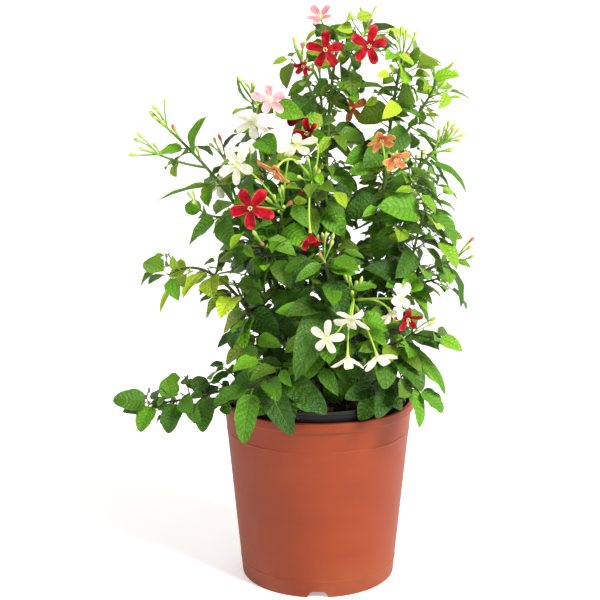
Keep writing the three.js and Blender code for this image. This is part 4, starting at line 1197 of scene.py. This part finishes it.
def solid_leaf(growth, draw, leaf, lines, look_of, slot):
    """The fine leaf on a solid leaf's rings. Where some are hidden, the count that ends on a stem is taken."""
    rings, tip = leaf["rings"], leaf["tip"]
    choices = []
    for count in range(len(rings), 4):
        share = STATIONS[count][count - len(rings)]
        place, slope, length = arc_of(leaf, share)
        root = closest(lines, place(np.zeros(1))[0])
        choices.append((root[0], count, place, slope, length, root))
    away, count, place, slope, length, root = min(choices, key=lambda choice: choice[0])
    widths = np.linalg.norm(rings[:, 2] - rings[:, 0], axis=1) / SHARES[count][count - len(rings):]
    side, up = unit(rings[0, 2] - rings[0, 0]), unit(rings[0, 1] - rings[0, 3])
    grid = "large" if length > LARGE_FROM else "middle" if length > MIDDLE_FROM else "small"
    tone_and_shade, age, drawn = look_of(tip / MM, length / MM, draw)
    size = (length, widths.mean(), drawn)
    grow_leaf(growth, draw, (place, slope), side, up, size, grid, (tone_and_shade, age, 0), slot)
    return away


print("half width from stalk to tip:", outline(np.linspace(0, 1, 6), 0.45).round(2))

# %% [markdown]
# ### Fallen leaves
# Dry leaves and bits of stem lie on the soil and against the rim on the left. They are the same leaf, grown
# brown and curled, a few millimetres above the ground so that they lie on the crumbs.

# %% fallen leaves
FALLEN = {"count": 46, "length": (12, 26), "wide": (0.4, 0.6), "seed": 77}


def fallen_leaves():
    draw = np.random.default_rng(FALLEN["seed"])
    growth = Growth()
    for number in range(FALLEN["count"]):
        near_rim = number < FALLEN["count"] * 0.6
        heading = math.radians(draw.uniform(175, 262) if near_rim else draw.uniform(0, 360))
        away = (draw.uniform(74, 88) if near_rim else 80 * math.sqrt(draw.uniform())) * MM
        height = (SOIL["top"] + 4 + draw.uniform(0, 9 if near_rim else 3)) * MM
        spot = np.array([math.cos(heading) * away, math.sin(heading) * away, height])
        turn = draw.uniform(0, 2 * math.pi)
        way = unit(np.array([math.cos(turn), math.sin(turn), draw.uniform(-0.1, 0.25)]))
        up = unit(np.cross(np.cross(way, [0, 0, 1]), way) + draw.normal(size=3) * 0.15)
        up = unit(up - way * (up @ way))
        length = draw.uniform(*FALLEN["length"]) * MM
        width = length * draw.uniform(*FALLEN["wide"])
        start = spot - way * length / 2
        midrib = arc_leaf(start, way, up, length, draw.uniform(-0.9, 1.1))
        size = (length, width, 0.3)
        grow_leaf(growth, draw, midrib, np.cross(way, up), up, size, "small", (0.5, 0, 0), 0)
    return growth.mesh("fallen")


fallen = fallen_leaves()
add_piece("fallen_leaves", fallen, [litter], "potting_mix", ["soil"], smooth_angle=60)
print("fallen leaves:", FALLEN["count"], "with", len(fallen.polygons), "faces")

# %% [markdown]
# ## Flowers
# The flower is a tube as long as a finger joint and hardly thicker than a wire, with five oblong petals that
# open flat. Ten short stamens stand round its mouth. The tube and the stamens follow paths, so the sweep
# recipe makes them. The petals are shells like the leaves', each on its own petal in the solid.

# %% reading a flower
def read_bloom(solid):
    """The flower's centre, facing, hub, petals and tube from its solid's corners."""
    at, near = solid.corners, solid.near
    tens = [i for i, ring in enumerate(near) if len(ring) == 10]
    centre = next(i for i in tens if all(len(near[r] & near[i]) >= 2 for r in near[i]))
    crown = near[centre]
    look = np.zeros(3)
    members = sorted(crown)
    for i, j in [(a, b) for a in members for b in members if a < b and b in near[a]]:
        normal = np.cross(at[i] - at[centre], at[j] - at[centre])
        look += normal * np.sign(normal @ look or 1)
    look = unit(look)
    rise = (at[members] - at[centre]) @ look
    if rise.mean() > 0:
        look, rise = -look, -rise
    ridges = [m for m, r in zip(members, rise) if r > -0.25 * MM]
    notches = [m for m, r in zip(members, rise) if r <= -0.25 * MM]
    face = at[centre] - look * 0.5 * MM
    hub = np.linalg.norm(at[ridges] - at[centre], axis=1).mean()
    others = set(range(len(at))) - crown - {centre}
    flat = {i: at[i] - face - look * ((at[i] - face) @ look) for i in others}
    throat = {i for i in others if np.linalg.norm(flat[i]) < hub * 1.06 and near[i] & set(notches)
              and abs((at[i] - face) @ look + 1.6 * MM) < 0.3 * MM}
    loose = others - throat
    groups = []
    while loose:
        group, fresh = set(), {loose.pop()}
        while fresh:
            group |= fresh
            fresh = set().union(*(near[i] for i in fresh)) & loose
            loose -= fresh
        groups.append(sorted(group))
    tube = next(g for g in groups if not any(near[i] & set(notches) for i in g))
    upper = [i for i in tube if near[i] & throat]
    lower = [i for i in tube if not near[i] & throat]
    petals = []
    for group in groups:
        if group is tube:
            continue
        tip = max(group, key=lambda i: np.linalg.norm(at[i] - face) - 1 * (len(near[i]) != 4))
        first = sorted(near[tip])
        rings = [first]
        if len(group) > 5:
            rings.insert(0, [i for i in group if i != tip and i not in first])
        petals.append({"rings": [at[ring] for ring in rings], "tip": at[tip]})
    return {"face": face, "look": look, "hub": hub, "petals": petals,
            "tube": (at[lower].mean(0), at[upper].mean(0), face - look * 3 * MM)}


flowers = {name: read_bloom(solids[name]) for name in bloom_names}
print("petals read:", sum(len(f["petals"]) for f in flowers.values()), "on", len(flowers), "flowers")

# %% one petal
PETAL = {"rows": 19, "columns": 9, "thickness": 0.42 * MM, "claw": 0.36, "widest": 0.6, "fuller": 1.08}
PETAL_STATIONS = {1: [0.66], 2: [0.42, 0.8]}
PETAL_SHARES = {1: [1], 2: [0.85, 0.95]}


def petal_outline(v):
    to_widest = np.clip(v / PETAL["widest"], 0, 1)
    foot = PETAL["claw"] + (1 - PETAL["claw"]) * np.sin(np.pi / 2 * to_widest ** 0.9)
    end = (1 - np.clip((v - PETAL["widest"]) / (1 - PETAL["widest"]), 0, 1) ** 2.5) ** 0.5
    return np.maximum(foot * end, 0.02)


def grow_petal(growth, draw, flower, petal):
    look, face = flower["look"], flower["face"]
    shares, middles, widths = [], [], []
    pairs = [(i, j) for i in range(4) for j in range(i)]
    count = len(petal["rings"])
    for share, part, ring in zip(PETAL_STATIONS[count], PETAL_SHARES[count], petal["rings"]):
        i, j = max(pairs, key=lambda p: np.linalg.norm(ring[p[0]] - ring[p[1]]))
        shares.append(share)
        middles.append(ring.mean(0))
        widths.append(np.linalg.norm(ring[i] - ring[j]) / part)
        side = unit(ring[i] - ring[j])
    out = unit(middles[0] - face - look * ((middles[0] - face) @ look))
    root = face + out * flower["hub"] * 0.55 - look * 0.5 * MM
    place, slope = through([0, *shares, 1], np.vstack([root, *middles, petal["tip"]]), 3)
    rows, columns = PETAL["rows"], PETAL["columns"]
    v = np.linspace(0, 1, rows)
    x = np.linspace(-1, 1, columns)
    middle, tangent = place(v), rows_of(slope(v))
    normal = rows_of(np.cross(side, tangent))
    normal *= np.sign((normal @ look).sum() or 1)
    level = rows_of(np.cross(tangent, normal))
    twist = draw.uniform(-0.35, 0.35) * v
    across = level * np.cos(twist)[:, None] + normal * np.sin(twist)[:, None]
    half = petal_outline(v) * np.mean(widths) * PETAL["fuller"] / 2
    edge = np.abs(x)
    cup = draw.uniform(-0.12, 0.3) * half[:, None] * edge ** 2
    turns = draw.uniform(1.2, 2.4) * v[:, None] + draw.uniform()
    crease = 0.05 * half[:, None] * np.sin(2 * np.pi * turns + 2.2 * x)
    groove = -0.1 * half[:, None] * np.exp(-(edge / 0.2) ** 2) * np.sin(np.pi * v)[:, None]
    curl = draw.uniform(-2.6, 1.2) * MM * np.clip(v - 0.6, 0, 1)[:, None] ** 2 / 0.16
    lift = cup + crease * np.sin(np.pi * v)[:, None] + groove + curl
    top = beside(middle, across, normal, x * half[:, None], lift)
    bottom = top - normal[:, None] * PETAL["thickness"]
    uv = np.stack(np.broadcast_arrays((x + 1) / 2, v[:, None]), -1).reshape(-1, 2)
    points = np.vstack([top.reshape(-1, 3), bottom.reshape(-1, 3)])
    growth.add(points, shell(rows, columns), 0, np.vstack([uv, uv]))


# %% whole flowers
STALK = {"length": 8, "gap": 0.3, "girth": 1.0}
STAMENS = {"count": 10, "length": 4.2, "short": 0.45, "out": 0.9, "in": 0.4}


def tube_path(flower):
    low, middle, end = flower["tube"]
    control = 2 * middle - 0.5 * (low + end)
    t = np.linspace(0, 1, 28)
    line = bezier([low, control, end], t)
    way = unit(control - low)
    stalk = low - way * np.linspace(STALK["length"] + STALK["gap"], 0.4, 8)[:, None] * MM
    girth = np.interp(t, [0, 0.06, 0.16, 0.8, 0.93, 1], [1.7, 1.55, 0.95, 0.9, 1.15, 1.9])
    lower = np.interp(np.linspace(0, 1, 8), [0, 0.7, 1], [0.8, 0.75, 1.35])
    return np.vstack([stalk, line]), np.append(lower, girth) * MM


def cup_path(flower):
    """The little cup behind the petals."""
    face, look = flower["face"], flower["look"]
    line = [face + look * h * MM for h in (-3.4, -2.4, -1.4, -0.5, 0.1)]
    return line, [g * MM * flower["hub"] / (2.5 * MM) for g in (1.2, 1.7, 2.3, 2.6, 1.5)]


def stamen_paths(flower, draw):
    face, look = flower["face"], flower["look"]
    first = unit(np.cross(look, [0.31, 0.2, 0.93]))
    second = np.cross(look, first)
    paths = []
    for i in range(STAMENS["count"]):
        angle = 2 * math.pi * (i + draw.uniform(-0.2, 0.2)) / STAMENS["count"]
        out = first * math.cos(angle) + second * math.sin(angle)
        reach = STAMENS["length"] * (1 if i % 2 else STAMENS["short"]) * draw.uniform(0.8, 1.1) * MM
        start = face + out * STAMENS["out"] * MM - look * STAMENS["in"] * MM
        flare = out * STAMENS["out"] * MM
        line = [start + look * reach * t + flare * t * t for t in (0, 0.5, 0.82, 0.9, 1, 1.06)]
        paths.append((line, [g * MM for g in (0.2, 0.17, 0.17, 0.45, 0.5, 0.15)]))
    return paths


def at_the_claw(points):
    """The share nought for each point, where a petal finish has its claw's colour."""
    return np.zeros(len(points))


def along_tube(line):
    """For each point, the share of the line at which the nearest of its points lies."""
    def share(points):
        away = np.linalg.norm(points[:, None] - line[None], axis=2)
        return away.argmin(1) / (len(line) - 1)
    return share


for number, name in enumerate(bloom_names):
    draw = np.random.default_rng(500 + number)
    flower, growth = flowers[name], Growth()
    colour = name.split("_")[1]
    for petal in flower["petals"]:
        grow_petal(growth, draw, flower, petal)
    line, girth = tube_path(flower)
    growth.add_mesh(swept([(line, girth)], tube_green, 9), 1, along_tube(line))
    growth.add_mesh(swept([cup_path(flower)], petals[colour], 10), 0, at_the_claw)
    growth.add_mesh(swept(stamen_paths(flower, draw), anther, 5), 2)
    made = growth.mesh(name + "_petals")
    finishes = [petals[colour], tube_green, anther]
    add_piece(name + "_flower", made, finishes, "petal_" + colour, [name], smooth_angle=50)
print("flowers grown:", len(bloom_names), "with", STAMENS["count"], "stamens each")

# %% [markdown]
# ## Shoots
# Now each shoot is put together: its stems, the leaves on their solids, the buds and, in the crown, the small
# young leaves that fill a real plant and that the solids leave out. Those grow by rule on short twigs from the
# stems, and a leaf that would cut another, or stand before a flower's face, is not grown.

# %% what is in the way
def tree_of(points, faces):
    return BVHTree.FromPolygons([tuple(p) for p in points], faces, all_triangles=False)


solid_points, solid_faces = [], []
for name, solid in solids.items():
    start = len(solid_points)
    solid_points.extend(solid.corners)
    solid_faces.extend([[v + start for v in face] for face in solid.faces])
standing = tree_of(solid_points, solid_faces)
small_leaves = []


def plate(place, side, up, width, grow):
    """A coarse closed leaf for the test, a little larger than the leaf."""
    u = np.array([0.12, 0.4, 0.7, 1.0])
    half = np.array([0.3, 1, 0.8, 0.1]) * width / 2 + grow
    middle = place(u)
    out, thick = side * half[:, None], up * grow
    rings = [middle - out, middle + thick, middle + out, middle - thick]
    points = np.stack(rings, 1).reshape(-1, 3)
    faces = [[0, 1, 2, 3], [15, 14, 13, 12]]
    for i in range(3):
        for j in range(4):
            k = (j + 1) % 4
            faces.append([4 * i + j, 4 * i + k, 4 * i + 4 + k, 4 * i + 4 + j])
    return points, faces


# The space before a flower's face that small leaves and buds leave free
OPEN_SPACE = {"behind": 4 * MM, "before": 75 * MM, "round": 21 * MM}


def before_a_flower(point):
    for flower in flowers.values():
        ahead = point - flower["face"]
        distance = ahead @ flower["look"]
        aside = np.linalg.norm(ahead - flower["look"] * distance)
        if -OPEN_SPACE["behind"] < distance < OPEN_SPACE["before"] and aside < OPEN_SPACE["round"]:
            return True
    return False


def is_clear(points, faces):
    low, high = points.min(0), points.max(0)
    if (low < lowest).any() or (high > highest).any():
        return False
    tested = tree_of(points, faces)
    if tested.overlap(standing):
        return False
    for other_low, other_high, other in small_leaves:
        if (low < other_high).all() and (high > other_low).all() and tested.overlap(other):
            return False
    small_leaves.append((low, high, tested))
    return True


MARGIN = 6 * MM
lowest, highest = np.array(cad_box[0]) - MARGIN, np.array(cad_box[1]) + MARGIN
print("solid faces in the way:", len(solid_faces))

# %% young twigs
TWIG = {
    "spacing": 9.0, "length": (7, 26), "girth": 0.6, "leaf": (17, 40), "wide": (0.38, 0.56), "tries": 4,
    "turns": (0.0, 2.2, 4.1), "fall": (-12, 48), "arch": (0.5, 1.1), "clear": 3.5,
}
# In millimetres: below the first height leaves are round, as they are by the rim and on the trailing stem. The
# crown's leaves are painted lighter from the second height up and from its heart outwards: painted shade deep
# in the crown, painted light at its top and outside.
LOW_LEAVES = 238
CROWN_SHADE = {"foot": 300, "height": 220, "heart": 30, "depth": 80}
ROUND, DRAWN_OUT = 0.08, 0.45


def look_at(place, draw):
    """A leaf's lightness, age and drawn-out tip from its place in millimetres: the lightness is partly random
    and partly painted shade, dark deep and low in the crown, lighter at its top and outside.
    """
    height = np.clip((place[2] - CROWN_SHADE["foot"]) / CROWN_SHADE["height"], 0, 1)
    from_axis = math.hypot(place[0] * 0.8, place[1] - 10)
    outside = np.clip((from_axis - CROWN_SHADE["heart"]) / CROWN_SHADE["depth"], 0, 1)
    # painted light and shade: lighter with height and away from the crown's heart; only the random part is the
    # leaf's own
    tone_and_shade = float(np.clip(-0.07 + 0.38 * height + 0.32 * outside + draw.normal() * 0.23, 0, 1))
    drawn = ROUND if place[2] < LOW_LEAVES else DRAWN_OUT
    return tone_and_shade, float(np.clip(0.26 * height ** 2 + draw.normal() * 0.09, 0, 1)), drawn


def grow_twigs(growth, draw, lines, wanted):
    """Short twigs with two or three small leaves each, where there is room."""
    paths, grown = [], 0
    for line, girth in lines:
        steps = np.linalg.norm(np.diff(line, axis=0), axis=1)
        run = np.append(0, np.cumsum(steps))
        place = 0.2 * run[-1]
        while place < run[-1]:
            spot = np.array([np.interp(place, run, line[:, k]) for k in range(3)])
            ahead = np.array([np.interp(place + MM, run, line[:, k]) for k in range(3)])
            axis = unit(ahead - spot) if place + MM < run[-1] else unit(line[-1] - line[-2])
            place += TWIG["spacing"] * MM * draw.uniform(0.7, 1.3)
            chance = draw.uniform()
            if chance > wanted(spot / MM):
                continue
            for _ in range(TWIG["tries"]):
                grown += grow_twig(growth, draw, paths, spot, axis)
    return paths, grown


def grow_twig(growth, draw, paths, spot, axis):
    away = unit(np.cross(axis, draw.normal(size=3)))
    way = unit(away + axis * draw.uniform(0.1, 0.8) + np.array([0, 0, 0.25]))
    reach = draw.uniform(*TWIG["length"]) * MM
    end = spot + way * reach
    start = Vector(spot + way * TWIG["clear"] * MM)
    if standing.ray_cast(start, Vector(way), reach)[0] is not None:
        return 0
    grown = 0
    heading = draw.uniform(0, 2 * math.pi)
    for turn in TWIG["turns"]:
        out = np.array([math.cos(heading + turn), math.sin(heading + turn), 0])
        fall = math.radians(draw.uniform(*TWIG["fall"]))
        level = unit(out + 0.7 * way * [1, 1, 0])
        way_out = unit(level * math.cos(fall) - np.array([0, 0, math.sin(fall)]))
        outward = unit(np.array([end[0], end[1] - 0.02, 0.0]) + 1e-9)
        hint = outward + np.array([0, 0, 0.9]) + draw.normal(size=3) * 0.25
        up = unit(hint - way_out * (hint @ way_out))
        side = np.cross(way_out, up)
        length = draw.uniform(*TWIG["leaf"]) * MM
        width = length * draw.uniform(*TWIG["wide"])
        if end[2] < LOW_LEAVES * MM:
            length, width = length * 0.75, width * 1.05
        base = end + way_out * 0.3 * MM
        place, slope = arc_leaf(base, way_out, up, length, draw.uniform(*TWIG["arch"]))
        points, faces = plate(place, side, up, width, 0.9 * MM)
        if before_a_flower(place(np.array([0.55]))[0]) or not is_clear(points, faces):
            continue
        tone_and_shade, age, drawn = look_at(end / MM, draw)
        age = age + (draw.uniform(0, 0.36) if end[2] > LOW_LEAVES * MM else 0.1)
        size = (length, width, drawn)
        grow_leaf(growth, draw, (place, slope), side, up, size, "twig", (tone_and_shade, age, 0), 1)
        grown += 1
    if grown:
        line = np.array([spot, (spot + end) / 2 - np.array([0, 0, 0.0006]), end + way * 0.6 * MM])
        paths.append((line, [TWIG["girth"] * MM * g for g in (1.3, 1, 0.9)]))
    return grown


# Where twigs stand, in millimetres: from the foot up, fully after the rise, fewer above the top. The sides are
# airier, and the trailing stem, which hangs left of its own limit, has some too.
NEED = {"foot": 215, "rise": 45, "top": 380, "left": -75, "right": 110, "trailing": -80}


def crown_need(spot):
    """How likely a stem is to carry a twig: most in the middle of the crown, none near the soil."""
    if spot[2] < NEED["foot"]:
        return 0.45 if spot[0] < NEED["trailing"] else 0.0
    upper = min(1, (spot[2] - NEED["foot"]) / NEED["rise"])
    if spot[0] < NEED["left"] or spot[0] > NEED["right"]:
        return (0.14 if spot[2] < NEED["top"] else 0.04) * upper
    return (0.85 if spot[2] < NEED["top"] else 0.56) * upper


print("twig leaves are", TWIG["leaf"], "mm long")

# %% whole shoots
YOUNG_SHOOTS = {"shoot_left_low": 0.6, "shoot_left_high": 0.2}
ROUND_LEAVED = ("shoot_trailing", "shoot_rim_left")


def look_rule(name):
    """How a shoot's leaves look, from their place and their length."""
    def look_of(tip, length, draw):
        tone_and_shade, age, drawn = look_at(tip, draw)
        young = YOUNG_SHOOTS.get(name, 0)
        if name == "shoot_left_low" and tip[0] > -88:
            young = 0.1
        if length < 26 and tip[2] > 300:
            young = max(young, 0.35)
        if name in ROUND_LEAVED:
            drawn = ROUND
        return tone_and_shade, float(np.clip(max(age, young + draw.normal() * 0.08), 0, 1.1)), drawn
    return look_of


# How a bud thickens from its stalk to its tip, as shares of its length and of its girth
BUD_SHARES = (0, 0.12, 0.2, 0.5, 0.68, 0.78, 0.9, 0.97, 1)
BUD_GIRTHS = (0.5, 0.85, 0.5, 0.45, 0.75, 1, 0.85, 0.4, 0.08)
PLAIN_BUDS = {"short": 0.75, "long": 0.92}


def bud_slot(draw, kind):
    """Most buds are green, the others blushed."""
    return 2 if draw.uniform() < PLAIN_BUDS[kind] else 3


def grow_bud(growth, draw, bud, lines):
    base, tip = bud["base"], bud["tip"]
    root = closest(lines, base)[1]
    t = np.linspace(0, 1, 12)
    line = root + (tip - root) * t[:, None]
    length = np.linalg.norm(tip - root)
    line += np.array([0, 0, 1]) * (np.sin(np.pi * t) * draw.uniform(-0.04, 0.02) * length)[:, None]
    girths = np.interp(t, BUD_SHARES, BUD_GIRTHS) * length * BUD["width"] * 0.95
    add_tube(growth, line, girths, 9, bud_slot(draw, "short"), (0.5, 0, 0), 0, 1)


# How many more long-tubed buds stand at the end of a shoot's stems, by the stem's number
SPRAYS = {
    "shoot_tall": {0: 3, 1: 4, 2: 5, 3: 4}, "shoot_right_tall": {0: 6, 1: 8, 2: 9, 3: 5},
    "shoot_left_high": {0: 7, 1: 4, 2: 3}, "shoot_left_mid": {0: 5, 1: 3, 3: 6}, "shoot_front": {0: 5},
    "shoot_front_right": {0: 6, 1: 2}, "shoot_right_low": {0: 4}, "shoot_back_left": {0: 4},
    "shoot_back_right": {0: 4}, "shoot_back_tall": {0: 5},
}
LONG_BUD = {
    "tube": (10, 24), "swollen": (7, 10), "thin": 0.72, "lean": (10, 58), "tries": 6,
    "girths": (1.1, 1.3, 1, 1.1, 2.3, 2.7, 1.6, 0.3),
}


def grow_long_bud(growth, draw, end, axis):
    """A flower bud on its long thin tube, where the way is free."""
    across = unit(np.cross(axis, draw.normal(size=3)))
    for _ in range(LONG_BUD["tries"]):
        lean = math.radians(draw.uniform(*LONG_BUD["lean"]))
        way = unit(axis * math.cos(lean) + across * math.sin(lean) + np.array([0, -0.12, 0.3]))
        tube, swollen = draw.uniform(*LONG_BUD["tube"]) * MM, draw.uniform(*LONG_BUD["swollen"]) * MM
        length = tube + swollen
        t = np.linspace(0, 1, 11)
        bow = unit(np.cross(way, draw.normal(size=3))) * length * 0.07
        line = end + way * (length * t)[:, None] + bow * np.sin(np.pi * t)[:, None]
        clear = 2 * MM
        starts = [Vector(point + way * clear) for point in (end, end + bow)]
        blocked = any(standing.ray_cast(start, Vector(way), length - clear)[0] for start in starts)
        inside = (line.min(0) > lowest).all() and (line.max(0) < highest).all()
        across = unit(np.cross(axis, draw.normal(size=3)))
        if blocked or not inside or before_a_flower(line[-1]):
            continue
        part = tube / length
        head = [part + (1 - part) * share for share in (0, 0.35, 0.7)]
        girths = np.interp(t, [0, 0.04, 0.1, *head, 0.985, 1], LONG_BUD["girths"]) * LONG_BUD["thin"] * MM
        add_tube(growth, line, girths, 6, bud_slot(draw, "long"), (0.5, 0, 0), 0, 1)
        return 1
    return 0


off_stem, twig_leaves, long_buds = [], 0, 0
for number, name in enumerate(shoot_names):
    draw = np.random.default_rng(100 + number)
    growth, lines = Growth(), stems[name]
    for leaf in leaves[name]:
        off_stem.append(solid_leaf(growth, draw, leaf, lines, look_rule(name), 1))
    for bud in buds[name]:
        grow_bud(growth, draw, bud, lines)
    for stem, count in SPRAYS.get(name, {}).items():
        line = lines[stem][0]
        onward = unit(line[-1] - line[-3])
        long_buds += sum(grow_long_bud(growth, draw, line[-1], onward) for _ in range(count))
    twigs, grown = grow_twigs(growth, draw, lines, crown_need)
    twig_leaves += grown
    growth.add_mesh(swept(lines, bark, 10), 0)
    if twigs:
        growth.add_mesh(swept(twigs, bark, 6), 0)
    made = growth.mesh(name + "_growth")
    finishes = [bark, leaf_green, bud_skin, bud_blush]
    add_piece(name + "_grown", made, finishes, "leaf", [name], smooth_angle=60)
    print(name, len(made.polygons), "faces,", len(leaves[name]), "large leaves,", grown, "small ones")
off_stem = np.array(off_stem) / MM
print("leaf roots off their stems, mm:", off_stem.mean().round(2), "mean,", off_stem.max().round(1), "most")
print("small leaves:", twig_leaves, "long buds:", long_buds)

# %% [markdown]
# ## The stage
# The plant was photographed against bright white with soft light from the upper right. A white floor that
# turns up into a white wall, a bright even sky and one large soft lamp give the same high key.

# %% floor, sky and lamps
def sweep_floor(width=9.0, front=-3.0, back=2.6, high=5.0, bend=0.9):
    line = [(front, 0.0), (back - bend, 0.0)]
    for angle in np.linspace(0.1, math.pi / 2, 14):
        line.append((back - bend + bend * math.sin(angle), bend - bend * math.cos(angle)))
    line.append((back, high))
    points = [(x, y, z) for x in (-width / 2, width / 2) for y, z in line]
    count = len(line)
    faces = [(i, i + count, i + count + 1, i + 1) for i in range(count - 1)]
    mesh = bpy.data.meshes.new("studio_floor")
    mesh.from_pydata(points, [], faces)
    mesh.shade_smooth()
    return mesh


floor = bpy.data.objects.new("studio_floor", sweep_floor())
bpy.context.scene.collection.objects.link(floor)
paper = Finish("studio_white", roughness=0.9)
paper.shader.inputs["Base Color"].default_value = (0.95, 0.95, 0.95, 1)
paper.shader.inputs["Emission Color"].default_value = (1, 1, 1, 1)
paper.shader.inputs["Emission Strength"].default_value = 0.35
floor.data.materials.append(paper.material)


def lamp(name, place, target, size, power, colour):
    light = bpy.data.lights.new(name, "AREA")
    light.size, light.energy, light.color = size, power, colour
    holder = bpy.data.objects.new(name, light)
    holder.location = place
    holder.rotation_euler = (Vector(target) - Vector(place)).to_track_quat("-Z", "Y").to_euler()
    bpy.context.scene.collection.objects.link(holder)


lamp("key_lamp", (1.55, -1.3, 1.9), (0, 0, 0.33), size=0.9, power=124, colour=(1, 0.97, 0.9))
lamp("fill_lamp", (-1.6, -1.4, 0.9), (0, 0, 0.3), size=1.6, power=10, colour=(0.95, 0.98, 1))
sky = bpy.data.worlds.new("bright_sky")
sky.use_nodes = True
sky.node_tree.nodes["Background"].inputs["Color"].default_value = (1, 1, 1, 1)
sky.node_tree.nodes["Background"].inputs["Strength"].default_value = 0.43
bpy.context.scene.world = sky
bpy.context.scene.view_settings.view_transform = "Standard"

# %% the camera
# Fitted to the pot's rim and foot in the photo: 1.4 m away, 609 mm high, looking 12.8 degrees down.
PICTURE = {"pixels": 600, "focus": 1403, "shift": -18, "sensor": 36}
VIEWPOINT = {"away": 1.4, "high": 0.609, "down": 0.223}
lens = bpy.data.cameras.new("camera")
lens.sensor_width = PICTURE["sensor"]
lens.lens = PICTURE["focus"] / PICTURE["pixels"] * PICTURE["sensor"]
lens.shift_x = PICTURE["shift"] / PICTURE["pixels"]
camera = bpy.data.objects.new("camera", lens)
camera.location = (0, -VIEWPOINT["away"], VIEWPOINT["high"])
camera.rotation_euler = (math.pi / 2 - VIEWPOINT["down"], 0, 0)
bpy.context.scene.collection.objects.link(camera)
bpy.context.scene.camera = camera
print("lens:", round(lens.lens, 1), "mm")

# %% size
print("cad box:", cad_box)
